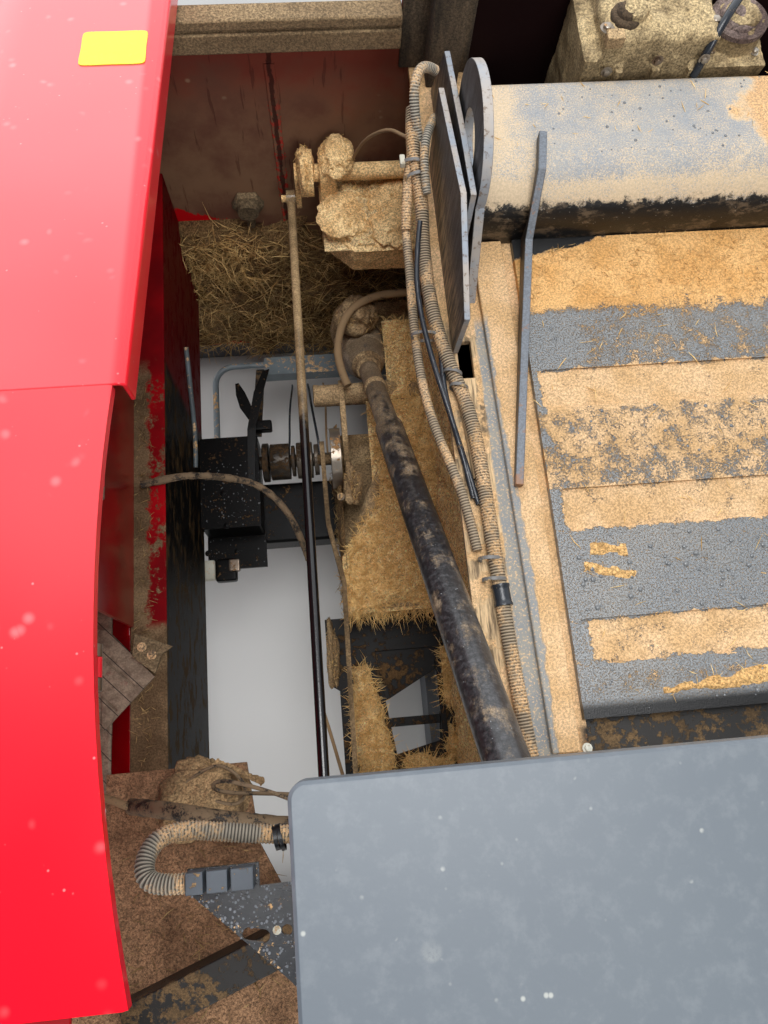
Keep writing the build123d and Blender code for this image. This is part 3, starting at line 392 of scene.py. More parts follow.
make_finishes([
    (dusted, "frame_paint", ((84, 88, 94), (68, 70, 74)), {
        "share": 0.24, "roughness": 0.5, "dust": ((150, 132, 106), (118, 102, 80), (78, 64, 48))}),
    (dusted, "black_wet", ((9, 8, 8), (5, 5, 5)), {
        "share": 0.12, "roughness": 0.35, "grain": 150.0, "gloss": 0.12,
        "dust": ((110, 84, 56), (74, 56, 38), (40, 30, 22))}),
    (dusted, "black_dusty", ((34, 31, 28), (24, 22, 20)), {
        "share": 0.42, "roughness": 0.5, "grain": 60.0, "dust": ((120, 96, 66), (84, 66, 44), black_bits)}),
    # Near black: painted shade for the lower shelf, which lies deep in the bay.
    (dusted, "shade_dusty", ((14, 12, 11), (8, 7, 7)), {
        "share": 0.30, "roughness": 0.5, "grain": 60.0, "gloss": 0.2,
        "dust": ((104, 80, 52), (64, 48, 32), black_bits)}),
    (dusted, "worn_steel", ((172, 164, 152), (112, 92, 74)), {
        "share": 0.2, "roughness": 0.32, "grain": 120.0, "metallic": 0.8}),
    (dusted, "gusset_wet", ((46, 48, 52), (30, 32, 36)), {
        "share": 0.10, "roughness": 0.25, "grain": 150.0, "coat": 0.2}),
    (dusted, "hub_grimy", ((104, 94, 82), (44, 38, 32)), {
        "share": 0.40, "roughness": 0.4, "grain": 110.0, "metallic": 0.5,
        "dust": ((120, 92, 62), (70, 54, 36), black_bits)}),
    (dusted, "connector_grey", ((86, 94, 102), (70, 76, 84)), {
        "share": 0.22, "roughness": 0.5, "grain": 150.0,
        "dust": ((160, 132, 96), (124, 100, 70), (80, 62, 42))}),
    (dusted, "pale_pipe", ((116, 128, 134), (80, 88, 92)), {"share": 0.28, "roughness": 0.4}),
    (dusted, "cream_plastic", ((206, 204, 190), (176, 170, 150)), {
        "share": 0.2, "roughness": 0.45, "grain": 140.0}),
    (dusted, "knuckle_steel", ((120, 104, 84), (92, 76, 58)), {
        "share": 0.4, "roughness": 0.6, "grain": 140.0}),
    (crusted, "khaki_dust", ((156, 132, 98), (124, 102, 74), (82, 66, 46)), {"streaks": (0.4, 1.0, 1.0)}),
    (crusted, "post_dust", ((128, 108, 84), (50, 42, 32), (30, 24, 20)), {"streaks": (3.0, 1.0, 0.5)}),
    (crusted, "shelf_dust", ((255, 222, 164), (222, 180, 122), (130, 98, 60)), {}),
    (crusted, "fold_dust", ((150, 128, 96), (92, 76, 54), (50, 42, 32)), {"streaks": (0.3, 1.0, 1.0)}),
    (crusted, "cast_dust", ((206, 182, 138), (132, 112, 80), (52, 44, 34)), {}),
    (crusted, "knuckle_dust", ((198, 168, 126), (130, 104, 72), (62, 50, 36)), {}),
    (crusted, "floor_dust", ((172, 132, 98), (120, 88, 62), (34, 26, 20)), {}),
    (crusted, "latch_dust", ((184, 152, 110), (132, 106, 74), (64, 50, 34)), {}),
    (crusted, "strap_dust", ((160, 134, 98), (104, 84, 58), (60, 48, 34)), {"streaks": (2.0, 0.4, 1.0)}),
    (crusted, "sawdust", ((228, 184, 122), (206, 160, 100), (150, 108, 62)), {}),
    (crusted, "plug_brown", ((96, 78, 58), (48, 38, 30), (26, 20, 16)), {}),
    (crusted, "cast_ring", ((150, 132, 124), (96, 78, 72), (40, 32, 30)), {}),
])

# %% [markdown]
# ## Sheets with two lives
#
# Some pieces are one colour where the hand reaches and another where it doesn't. A plate cut from thick steel
# has dark faces and a pale, chipped rim, the pale partly a painted highlight along its edges, so its finish
# asks which way the surface looks. The side rail's top is red under a band of dirt, while its upright web is
# wet black. Both are two finishes in one, mixed by direction or by place.


# %% Cut plates, the side rail and the inner side
def plate_steel():
    """Dark faces towards the machine's sides; light blue-grey rims, partly a painted highlight, with rust and
    dust.
    """
    f = Finish("plate_steel")
    height = f.part(f.place, 2)
    # Faces that look up, down, ahead or back are the rims: their pale blue-grey is partly a painted highlight
    # along the edges.
    rim = f.ramp(f.sums("ABSOLUTE", f.part(f.facing, 0)), 0.75, 0.55)
    streak = f.noise(120.0, 5.0, 0.7, where=f.stretched((1.0, 1.0, 0.12)))
    low = f.ramp(f.scaled(f.noise(30.0, 4.0), 0.08, height), 1.21, 1.12)
    dirt = f.mix(low, srgb(74, 74, 78), srgb(150, 126, 98))
    face = f.mix(f.ramp(streak, 0.40, 0.62), srgb(40, 38, 38), dirt)
    chips = f.ramp(f.noise(150.0, 5.0, 0.75), 0.55, 0.63)
    edge = f.drift(srgb(148, 156, 166), srgb(172, 164, 156), 0.4, 0.62, 14.0, 4.0)
    edge = f.mix(f.times(chips, 0.75), edge, srgb(112, 88, 66))
    f.bump((streak, 0.0008, 0.4), (chips, 0.0006, 0.5))
    return f.finish(f.mix(rim, face, edge), 0.5)


def bar_paint():
    """Flat bar: blue-grey top edge, dark sides, rust where it ends."""
    f = Finish("bar_paint")
    top = f.ramp(f.part(f.facing, 2), 0.3, 0.6)
    rust = f.ramp(f.scaled(f.noise(90.0, 4.0), 0.05, f.part(f.place, 1)), -0.085, -0.105)
    rust = f.most(rust, f.times(f.ramp(f.noise(70.0, 5.0, 0.7), 0.58, 0.64), 0.6))
    paint = f.mix(top, srgb(52, 48, 46), f.grain(srgb(106, 112, 120), 0.2))
    f.bump((f.noise(300.0, 3.0), 0.0006, 0.3))
    return f.finish(f.mix(rust, paint, srgb(146, 106, 76)), 0.45)


def rail_paint():
    """Red top under a band of dirt, wet black web, khaki streaks where straw rubs."""
    f = Finish("rail_paint")
    x, y, z = (f.part(f.place, axis) for axis in range(3))
    torn = f.scaled(f.noise(36.0, 6.0, 0.7), 0.05, -0.025)
    dirt = f.ramp(f.plus(x, torn), -0.664, -0.672)
    dirt = f.most(dirt, f.ramp(f.noise(30.0, 5.0, 0.7), 0.52, 0.60))
    dirt = f.times(dirt, f.ramp(f.plus(y, torn), 0.25, 0.20))
    dirt = f.most(dirt, f.ramp(y, -0.24, -0.26))
    red = f.drift(srgb(170, 6, 18), srgb(112, 4, 12), 0.3, 0.7, 8.0, 3.0)
    top = f.mix(dirt, red, dust_colour(f, srgb(136, 112, 84), srgb(100, 80, 58), srgb(60, 46, 32)))
    rubbed = f.noise(70.0, 5.0, 0.7, where=f.stretched((1.0, 0.3, 0.6)))
    rub = f.times(f.ramp(rubbed, 0.50, 0.60), 0.8)
    web = f.mix(rub, srgb(8, 7, 7), srgb(84, 66, 42))
    web = f.mix(f.ramp(f.plus(y, torn), 0.22, 0.25), web, srgb(104, 3, 8))
    upper = f.ramp(z, 0.796, 0.7985)
    f.bump((dirt, 0.0010, 0.6), (f.noise(400.0, 3.0), 0.0006, 0.4))
    f.shader.inputs["Specular IOR Level"].default_value = 0.12
    return f.finish(f.mix(upper, web, top), f.ramp(f.most(upper, rub), 0.0, 1.0, 0.5, 0.85))


def inner_red():
    """Deep red sheet of the shield's inner side, glossy, with a few pale scuffs."""
    f = Finish("inner_red", coat=0.5)
    tone = f.drift(srgb(158, 1, 10), srgb(104, 1, 6), 0.3, 0.7, 5.0, 3.0)
    scuff = f.times(f.ramp(f.noise(80.0, 5.0, 0.75), 0.62, 0.70), 0.5)
    f.bump((f.noise(6.0, 2.0), 0.004, 0.2))
    return f.finish(f.mix(scuff, tone, srgb(150, 110, 84)), 0.3, 0.15)


def bulkhead_paint():
    """Maroon under a brown film: scratches that lean, red showing near the top and in one ragged strip, and
    painted shade, near black, on the rear face right of the post.
    """
    f = Finish("bulkhead_paint")
    x, z = f.part(f.place, 0), f.part(f.place, 2)
    film = f.noise(7.0, 6.0, 0.62)
    brown = f.mix(f.ramp(film, 0.35, 0.65), srgb(106, 70, 56), srgb(132, 100, 76))
    redder = f.ramp(f.scaled(film, 0.5, z), 1.16, 1.34)
    scratch = f.ramp(f.noise(90.0, 3.0, 0.6, where=f.stretched((1.0, 1.0, 0.10))), 0.62, 0.68)
    tone = f.mix(f.times(redder, 0.75), brown, srgb(112, 30, 26))
    tone = f.mix(f.times(scratch, 0.5), tone, srgb(70, 34, 28))
    pale = f.times(specks(f, 30.0, 0.05, 0.14), 0.35)
    tone = f.mix(pale, tone, srgb(176, 158, 128))
    slope = f.scaled(x, -0.42, 0.40)
    ragged = f.scaled(f.noise(110.0, 4.0, 0.7, where=f.stretched((1.0, 1.0, 0.3))), 0.05, -0.025)
    level_z = f.minus(z, f.plus(slope, ragged))
    strip = f.times(f.ramp(level_z, 0.025, 0.018), f.ramp(x, -0.50, -0.52))
    from_seam = f.sums("ABSOLUTE", f.plus(x, f.scaled(ragged, 0.3, 0.404)))
    seam = f.times(f.ramp(from_seam, 0.012, 0.009), f.ramp(f.noise(60.0, 5.0, 0.7), 0.50, 0.56))
    seam = f.times(seam, f.ramp(z, 1.05, 0.86))
    tone = f.mix(f.most(strip, f.times(seam, 0.7)), tone, srgb(196, 2, 14))
    tone = f.mix(f.times(f.ramp(from_seam, 0.005, 0.003), 0.8), tone, srgb(38, 16, 14))
    # Near-black red on the rear-facing part right of the post: painted shade behind the beam.
    painted_deep_shade = f.times(f.ramp(x, -0.16, -0.12), f.ramp(f.part(f.facing, 1), 0.3, -0.3))
    tone = f.mix(painted_deep_shade, tone, srgb(18, 0, 1))
    f.shader.inputs["Specular IOR Level"].default_value = 0.15
    f.bump((film, 0.002, 0.3), (scratch, 0.0006, 0.4))
    return f.finish(tone, 0.75)


# %% [markdown]
# ## The deck and the beam
#
# Rain and feet leave the sawdust in a pattern that tells how the sheet is pressed: the raised ribs keep an
# even coat with a torn edge, the hollows between them are half swept, and the rear is washed clean. So the
# dust's share is a profile along the machine's length, and noise decides grain by grain whether a spot is
# covered. The beam is speckled evenly on top and wet and dark round its rear roll.


# %% Dust by place
def profile(f, value, low, high, stops):
    """Share of dust along a line: stops of (place, share) between low and high, joined by straight runs."""
    node = f.tree.nodes.new("ShaderNodeValToRGB")
    f.feed(node.inputs[0], f.ramp_straight(value, low, high))
    elements = node.color_ramp.elements
    while len(elements) < len(stops):
        elements.new(0.5)
    for element, (place, share) in zip(elements, stops):
        element.position = (place - low) / (high - low)
        element.color = (share, share, share, 1.0)
    return node.outputs[0]


deck_shares = [
    # (place along the machine in metres, share of dust)
    (-0.460, 0.02), (-0.432, 0.02), (-0.428, 0.30), (-0.405, 0.34), (-0.400, 0.10), (-0.389, 0.08),
    (-0.386, 0.80), (-0.330, 0.78), (-0.326, 0.08), (-0.260, 0.12), (-0.203, 0.16), (-0.199, 0.80),
    (-0.139, 0.80), (-0.134, 0.54), (-0.060, 0.66), (-0.016, 0.58), (-0.011, 0.86), (0.050, 0.86),
    (0.056, 0.40), (0.140, 0.36), (0.165, 0.86), (0.283, 0.98),
]


def deck_finish():
    """Dust by place over satin grey, with clean margins beside the ribs, a wet rear edge and a painted shade
    strip under the beam.
    """
    f = Finish("deck_paint")
    x, y = f.part(f.place, 0), f.part(f.place, 1)
    torn = f.scaled(f.noise(34.0, 5.0), 0.03, -0.015)
    torn = f.plus(torn, f.scaled(f.noise(220.0, 2.0), 0.008, -0.004))
    share = profile(f, f.plus(y, torn), -0.46, 0.30, deck_shares)
    slope = f.scaled(f.minus(0.03, y), 0.05, -0.03)
    inside = f.ramp(f.minus(x, f.plus(slope, torn)), 0.0, 0.006)
    rib_zone = f.times(f.ramp(share, 0.6, 0.7), f.ramp(y, 0.10, 0.06))
    outside = f.times(rib_zone, f.minus(1.0, inside))
    share = f.times(share, f.minus(1.0, outside))
    gap_y = f.sums("ABSOLUTE", f.minus(y, 0.10))
    bare = f.times(f.ramp(f.plus(x, torn), 0.06, 0.04), f.ramp(gap_y, 0.055, 0.04))
    share = f.minus(share, f.times(bare, 0.3))
    clumps = f.times(f.noise(38.0, 4.0, 0.6), 0.36)
    heap = f.plus(clumps, f.times(f.noise(330.0, 5.0, 0.85, distortion=0.8), 0.64))
    edge = f.scaled(share, -0.32, 0.66)
    cover = f.ramp(f.minus(heap, edge), -0.014, 0.018)
    flecks = f.ramp(f.noise(420.0, 3.0, 0.8), 0.53, 0.60)
    cover = f.most(cover, f.times(flecks, 0.55))
    wet_edge_and_gap_shade = f.ramp(y, -0.434, -0.449)
    cover = f.times(cover, f.minus(1.0, wet_edge_and_gap_shade))
    paint = f.drift(srgb(132, 136, 139), srgb(143, 143, 141), 0.35, 0.7, 7.0, 4.0)
    # Past a slanted line under the beam the paint turns near black and the dust stops: painted shade in the
    # gap between deck and beam.
    slant = f.scaled(x, 0.22, 0.252)
    painted_gap_shade = f.ramp(f.minus(f.plus(y, torn), slant), 0.0, 0.004)
    cover = f.times(cover, f.minus(1.0, painted_gap_shade))
    wet_edge_and_gap_shade = f.most(wet_edge_and_gap_shade, painted_gap_shade)
    # The near-black colour serves both the wet rear edge and the painted shade of the gap under the beam.
    paint = f.grain(f.mix(wet_edge_and_gap_shade, paint, srgb(10, 10, 11)), 0.13)
    f.bump((cover, 0.0015, 0.9), (f.noise(420.0, 3.0, 0.7), 0.0009, 0.5))
    golden = f.ramp(f.plus(y, torn), 0.10, 0.17)
    dust = f.mix(golden, dust_colour(f), dust_colour(f, srgb(228, 180, 118), srgb(208, 156, 92)))
    return f.finish(f.mix(cover, paint, dust), f.ramp(cover, 0.0, 1.0, 0.34, 0.95))


def beam_finish():
    """Even speckle on top, an orange patch at the right, a tan line and then a wet dark roll below it."""
    f = Finish("beam_paint")
    x, z = f.part(f.place, 0), f.part(f.place, 2)
    waver = f.times(f.noise(70.0, 6.0, 0.75), 0.045)
    low = f.ramp(f.plus(z, waver), 1.137, 1.130)
    line = f.times(f.ramp(z, 1.100, 1.116), f.ramp(z, 1.140, 1.128))
    reach = f.plus(x, f.scaled(f.noise(16.0, 4.0), 0.24, -0.02))
    patch = f.times(f.ramp(reach, 0.42, 0.46), f.ramp(z, 1.128, 1.14))
    ends = f.times(f.ramp(x, 0.02, -0.07), 0.10)
    share = f.plus(f.times(line, 0.10), f.plus(f.times(patch, 0.3), ends))
    share = f.plus(share, f.scaled(f.noise(11.0, 4.0), 0.16, -0.08))
    drift = f.times(f.noise(40.0, 4.0, 0.6), 0.18)
    grains = f.plus(drift, f.times(f.noise(480.0, 4.0, 0.85), 0.82))
    cover = f.ramp(f.plus(grains, share), 0.49, 0.57)
    paint = f.drift(srgb(144, 148, 152), srgb(156, 157, 156), 0.35, 0.7, 9.0, 4.0)
    dust = f.mix(patch, srgb(216, 190, 152), dust_colour(f, srgb(222, 174, 112), srgb(206, 156, 96)))
    colour = f.mix(f.times(cover, 0.85), paint, dust)
    white = f.ramp(f.spots(150.0), 0.10, 0.05)
    smear = f.noise(50.0, 6.0, 0.75, where=f.stretched((0.5, 1.0, 1.0)))
    dark = f.mix(f.ramp(smear, 0.50, 0.62), srgb(16, 16, 17), srgb(92, 78, 62))
    dark = f.mix(f.times(white, 0.8), dark, srgb(190, 186, 178))
    f.bump((grains, 0.0008, 0.5))
    return f.finish(f.grain(f.mix(low, colour, dark), 0.10), f.ramp(low, 0.0, 1.0, 0.5, 0.3))


# %% [markdown]
# ## The flap of planks
#
# The flap beside the rail is made of narrow grey boards that lie at a slant. The seams are where the distance
# across the boards, divided by a board's width, leaves almost no remainder. Some red paint has rubbed off on
# them.


# %% Seams between boards
def plank_finish():
    """Grey-brown boards 28 mm wide, with dark seams and a breath of red."""
    f = Finish("plank_dust")
    board = 0.028
    over = f.plus(f.part(f.place, 0), f.part(f.place, 1))
    part_over = f.sums("FRACT", f.scaled(over, 0.7071 / board, 40.0))
    seam = f.ramp(f.sums("ABSOLUTE", f.minus(part_over, 0.5)), 0.46, 0.49)
    worn = f.noise(60.0, 5.0, 0.7)
    tone = f.mix(f.ramp(worn, 0.36, 0.64), srgb(116, 98, 82), srgb(150, 132, 112))
    tone = f.mix(f.ramp(f.noise(26.0, 4.0), 0.60, 0.70, 0.0, 0.6), tone, srgb(134, 70, 66))
    f.bump((seam, 0.003, -1.0), (worn, 0.001, 0.4))
    return f.finish(f.grain(f.mix(seam, tone, srgb(44, 36, 30)), 0.16), 0.8)


# %% [markdown]
# ## The flange beside the deck
#
# Under the conduits the wall's flange is grey-brown and streaked like old wood, because water runs along it.
# Next to it a blue-grey band of clean paint runs the whole length, and the rest is a strip of sawdust that
# the deck's edge holds back. The flange and the strips on it share one finish, so the band crosses both.


# %% Streaks, a clean band and a strip of dust
def flange_finish():
    """Noise stretched along the machine left of the band, paint on it, dust to its right."""
    f = Finish("flange_streaks")
    x, y = f.part(f.place, 0), f.part(f.place, 1)
    waver = f.scaled(f.noise(60.0, 5.0, 0.65, where=f.stretched((1.0, 0.4, 1.0))), 0.022, -0.011)
    x_torn = f.plus(x, waver)
    streak = f.noise(170.0, 5.0, 0.7, where=f.stretched((1.0, 0.07, 1.0)))
    wood = f.mix(f.ramp(streak, 0.38, 0.64), srgb(110, 92, 70), srgb(224, 192, 148))
    patches = f.ramp(f.noise(24.0, 5.0, 0.65), 0.46, 0.54)
    wood = f.mix(patches, wood, dust_colour(f))
    right_side = f.scaled(f.ramp(y, 0.05, -0.30), 0.016, -0.093)
    to_right = f.minus(x_torn, right_side)
    dusty = f.ramp(to_right, -0.001, 0.003)
    dusty = f.most(dusty, f.ramp(y, 0.13, 0.16))
    left_of_band = f.ramp(f.scaled(waver, 0.5, x), -0.108, -0.112)
    band = f.drift(srgb(140, 143, 144), srgb(156, 152, 142), 0.35, 0.7, 40.0, 4.0)
    band = f.mix(f.times(f.ramp(f.noise(260.0, 3.0, 0.7), 0.54, 0.62), 0.75), band, sawdust_light)
    colour = f.mix(dusty, f.mix(left_of_band, band, wood), dust_colour(f))
    rear = f.times(f.ramp(y, -0.462, -0.474), f.ramp(x, -0.05, -0.03))
    lower_plate = f.drift(srgb(24, 24, 26), srgb(190, 132, 74), 0.50, 0.62, 14.0, 6.0, 0.7)
    below = f.ramp(f.part(f.place, 2), 1.030, 1.0255)
    side = f.drift(srgb(82, 66, 46), srgb(128, 104, 70), 0.4, 0.6, 20.0, 5.0, 0.7)
    f.bump((streak, 0.0012, 0.5), (dusty, 0.0012, 0.8), (f.noise(420.0, 3.0, 0.7), 0.0009, 0.5))
    return f.finish(f.mix(below, f.mix(rear, colour, lower_plate), side), 0.85)


# %% [markdown]
# ## Hay, conduit and rubber
#
# Matted hay is streaks in three tones. Corrugated conduit is pale on its hoops and darker in its grooves, a
# painted shade; the tube itself says where the grooves are, through a value kept at every vertex.
# Rubber is nearly black and shows through gaps in the dirt that cakes on it.


# %% Hay, conduit and rubber
def hay_finish(name, dark, light, bright):
    """Matted hay: streaks of three tones, shorter and finer than the strands that lie on top, with pits
    darkened as painted shade.
    """
    f = Finish(name)
    coarse = f.noise(60.0, 5.0, 0.7, distortion=1.5)
    fine = f.noise(420.0, 4.0, 0.75, distortion=2.5)
    tone = f.mix(f.ramp(coarse, 0.34, 0.66), dark, light)
    tone = f.mix(f.ramp(fine, 0.48, 0.66), tone, bright)
    # Dark pits between the streaks: painted shade in the gaps of the hay.
    shaded_pits = f.ramp(f.spots(120.0), 0.16, 0.05)
    tone = f.mix(f.times(shaded_pits, 0.6), tone, srgb(58, 42, 24))
    f.bump((fine, 0.003, 0.9), (coarse, 0.004, 0.6))
    return f.finish(f.grain(tone, 0.45, 230.0), 0.95)


def conduit_finish(name, hoop, valley, dust_share):
    """Corrugated plastic: hoops pale, grooves darkened as painted shade, and sawdust in patches where it lies
    thick.
    """
    f = Finish(name)
    groove = f.tree.nodes.new("ShaderNodeAttribute")
    groove.attribute_name = "groove"
    # The valley tone in the grooves is painted shade: darker the deeper the groove.
    tone = f.mix(groove.outputs["Fac"], hoop, valley)
    patches = f.ramp(f.noise(22.0, 4.0), 0.62 - 0.3 * dust_share, 0.72 - 0.3 * dust_share)
    cover = f.times(patches, f.ramp(f.noise(300.0, 3.0), 0.35, 0.55))
    colour = f.mix(f.times(cover, 0.8), tone, dust_colour(f))
    f.bump((f.noise(500.0, 3.0), 0.0005, 0.3))
    return f.finish(colour, 0.7)


def rubber_finish(name, base, dirt, share, roughness):
    """Hose rubber with dirt that cakes in patches."""
    f = Finish(name)
    dirt_height = f.plus(f.times(f.noise(45.0, 5.0, 0.7), 0.6), f.times(f.noise(400.0, 3.0, 0.7), 0.4))
    cover = f.ramp(dirt_height, 0.66 - 0.36 * share, 0.72 - 0.36 * share)
    f.bump((cover, 0.0012, 0.8), (f.noise(600.0, 3.0), 0.0006, 0.4))
    return f.finish(f.mix(cover, base, dirt), f.ramp(cover, 0.0, 1.0, roughness, 0.9))


# %% [markdown]
# ## Straw, drops and the blank plate
#
# Single straws are plain but not all one tone. A bead of water is a grey near the deck's paint with one sharp
# highlight; on darker sheets that grey is lighter than the sheet, a painted highlight. The yellow plate on the
# shield is blank and slightly faded.


# %% Straw, drops and the blank plate
def straw_finish(name, dull, bright):
    """Dry straw that changes tone from stalk to stalk."""
    f = Finish(name)
    tone = f.drift(dull, bright, 0.35, 0.65, 70.0, 2.0)
    return f.finish(tone, 0.7)


def water_finish(name, dark, light):
    """Beads in a grey between two tones under a sharp gloss; where the sheet below is dark, the grey is a
    painted highlight.
    """
    f = Finish(name, coat=0.6)
    f.shader.inputs["IOR"].default_value = 1.33
    return f.finish(f.mix(f.noise(40.0, 1.0), dark, light), 0.08, 0.03)


def plate_finish():
    """Blank yellow plate: slightly faded, with a little grime."""
    f = Finish("plate_yellow", coat=0.3)
    grime = f.ramp(f.noise(120.0, 4.0), 0.55, 0.75)
    return f.finish(f.mix(f.times(grime, 0.3), srgb(240, 214, 8), srgb(206, 180, 40)), 0.4)


# %% [markdown]
# ## The glossy covers
#
# The shield is moulded in bright red with a clear gloss: a coat over a saturated base. Towards its front it
# turns pink under a whitish tint, which is partly a thin film of dust and partly a painted reflection of the
# bright sky. Soft smudges and small white specks are the neighbourhoods of scattered points. The hood is
# satin blue-grey sheet with fewer, brighter flecks.


# %% Red gloss and grey satin
def specks(f, scale, reach, softness):
    """Soft round flecks: 1 at scattered points, 0 beyond reach, broken up so that most cells stay empty."""
    cells = f.ramp(f.spots(scale), reach + softness, reach)
    gate = f.ramp(f.noise(scale * 0.45, 1.0), 0.56, 0.66)
    return f.times(cells, gate)


def red_gloss():
    """Saturated red under a clear coat, with a whitish tint that thickens towards the front: partly film,
    partly painted sky reflection.
    """
    f = Finish("shield_red", coat=0.8)
    f.shader.inputs["Specular IOR Level"].default_value = 0.1
    x, y = f.part(f.place, 0), f.part(f.place, 1)
    tone = f.drift(srgb(236, 2, 34), srgb(224, 0, 28), 0.3, 0.7, 3.0, 2.0)
    rim = f.ramp(x, -0.566, -0.556)
    # The whitish film is partly real haze and partly a painted reflection of the bright sky, stronger towards
    # the front.
    film = f.ramp(f.plus(y, f.scaled(f.noise(2.2, 2.0), 0.5, -0.25)), -0.52, 0.50, 0.0, 0.175)
    film = f.times(film, f.scaled(rim, -0.8, 1.0))
    smudge = f.times(specks(f, 42.0, 0.04, 0.30), 0.16)
    small = f.times(specks(f, 90.0, 0.05, 0.10), 0.22)
    # pale carries the smudges and specks, and also the painted sky reflection of the film.
    pale = f.plus(film, f.most(smudge, small))
    f.bump((f.noise(5.0, 1.0), 0.004, 0.12))
    return f.finish(f.mix(pale, tone, srgb(255, 226, 226)), 0.4, 0.12)


def hood_satin():
    """Blue-grey satin with a faint haze, small flecks and a few larger cream spots."""
    f = Finish("hood_grey", coat=0.15)
    tone = f.drift(srgb(92, 100, 108), srgb(97, 105, 112), 0.3, 0.7, 2.2, 3.0)
    haze = f.mix(f.times(f.ramp(f.noise(60.0, 4.0, 0.7), 0.45, 0.75), 0.12), tone, srgb(160, 164, 166))
    small = f.times(specks(f, 70.0, 0.06, 0.12), 0.5)
    large = f.times(specks(f, 13.0, 0.075, 0.05), 0.8)
    chalk = f.times(large, f.ramp(f.noise(150.0, 4.0, 0.8), 0.34, 0.56, 0.25, 1.0))
    colour = f.mix(f.most(small, chalk), haze, srgb(206, 206, 196))
    f.bump((f.noise(220.0, 2.0), 0.0006, 0.12))
    return f.finish(colour, 0.45, 0.3)


# %% [markdown]
# ## Plastic guard and linkage rod
#
# The shaft's guard is satin black plastic, dusty at its lower end. The rod of the linkage is dusty at the
# front, where it runs past the hay, and wet and glossy at the rear.


# %% Guard and rod
def guard_plastic():
    """Satin black with dust that thickens towards the low end of the shaft and in lengthwise smears."""
    f = Finish("guard_black", coat=0.3)
    height = f.part(f.place, 2)
    low_end = f.ramp(height, 0.98, 0.60)
    cloud = f.noise(24.0, 6.0, 0.75)
    along = f.noise(60.0, 4.0, 0.7, where=f.stretched((1.0, 0.15, 0.15)))
    cloud = f.scaled(along, 0.35, f.times(cloud, 0.65))
    cover = f.ramp(f.plus(cloud, f.times(low_end, 0.20)), 0.50, 0.66)
    grey = f.drift(srgb(40, 40, 42), srgb(66, 66, 68), 0.4, 0.7, 120.0, 4.0)
    crust = dust_colour(f, srgb(186, 162, 130), srgb(142, 120, 92), srgb(84, 66, 46))
    colour = f.mix(f.times(cover, 0.72), f.grain(grey, 0.35), crust)
    f.bump((f.noise(300.0, 3.0), 0.0006, 0.3), (cover, 0.001, 0.5))
    return f.finish(colour, f.ramp(cover, 0.0, 1.0, 0.3, 0.9), 0.2)


def rod_paint():
    """Dusty at the front, wet glossy black at the rear, changing over a hand's length."""
    f = Finish("rod_paint", coat=0.4)
    front = f.ramp(f.plus(f.part(f.place, 1), f.times(f.noise(40.0, 4.0), 0.16)), 0.10, 0.24)
    crust = dust_colour(f, srgb(176, 148, 108), srgb(132, 108, 74), srgb(70, 54, 36))
    f.bump((f.noise(500.0, 3.0), 0.0005, 0.4))
    return f.finish(f.mix(front, srgb(14, 14, 16), crust), f.ramp(front, 0.0, 1.0, 0.16, 0.85), 0.08)


# %% [markdown]
# ## The rest of the finishes
#
# Finishes that follow a place or a direction belong to one piece each, or to a few that lie side by side. Hay,
# conduit, rubber, straw and water come in a few tones each, from the same kind of table as before.

# %% Finishes that follow a place, and materials in a few tones
finishes.update({
    "plate_steel": plate_steel(), "bar_paint": bar_paint(), "rail_paint": rail_paint(),
    "inner_red": inner_red(), "bulkhead_paint": bulkhead_paint(), "deck_paint": deck_finish(),
    "beam_paint": beam_finish(), "flange_dust": flange_finish(), "plank_dust": plank_finish(),
    "plate_yellow": plate_finish(), "red_gloss": red_gloss(), "hood_satin": hood_satin(),
    "guard_plastic": guard_plastic(), "rod_paint": rod_paint(),
})
make_finishes([
    # The gold and pale hay are lighter than dry hay: painted light that brightens the cakes deep in the bay.
    (hay_finish, "hay_gold", ((244, 192, 126), (255, 226, 166), (255, 238, 184)), {}),
    (hay_finish, "hay_brown", ((84, 58, 34), (126, 96, 58), (184, 148, 96)), {}),
    (hay_finish, "chaff_pale", ((218, 182, 128), (254, 224, 168), (255, 236, 190)), {}),
    (conduit_finish, "conduit_tan", ((180, 162, 136), (66, 54, 42)), {"dust_share": 0.5}),
    (conduit_finish, "conduit_pale", ((176, 168, 152), (40, 37, 34)), {"dust_share": 0.45}),
    (rubber_finish, "hose_dusty", ((74, 62, 50), (146, 120, 88)), {"share": 0.8, "roughness": 0.6}),
    (rubber_finish, "hose_crusty", ((40, 36, 32), (126, 106, 82)), {"share": 0.62, "roughness": 0.5}),
    (rubber_finish, "cable_gloss", ((40, 44, 50), (150, 122, 84)), {"share": 0.18, "roughness": 0.22}),
    (rubber_finish, "tie_grey", ((110, 108, 106), (178, 150, 108)), {"share": 0.4, "roughness": 0.45}),
    (rubber_finish, "tie_black", ((22, 22, 24), (110, 92, 68)), {"share": 0.2, "roughness": 0.35}),
    (straw_finish, "straw_bright", ((214, 168, 98), (252, 216, 146)), {}),
    (straw_finish, "straw_gold", ((176, 134, 78), (232, 196, 130)), {}),
    (straw_finish, "straw_dull", ((118, 92, 52), (176, 146, 94)), {}),
    # Both bead tones are lighter than the guard, drive box and gusset under them: painted highlight for the
    # light the drops catch.
    (water_finish, "water", ((104, 108, 112), (126, 127, 127)), {}),
    (water_finish, "water_pale", ((84, 88, 94), (142, 146, 152)), {}),
])

# %% [markdown]
# ## Skins over the frame's nodes
#
# The frame's meshes are loose, flat triangles, which is right for collision and wrong for gloss. Each one
# that shows is copied, its doubles are merged, its coplanar triangles are joined, and a small bevel breaks
# its edges, so that every plate catches a line of light along its rim as folded and cut steel does.


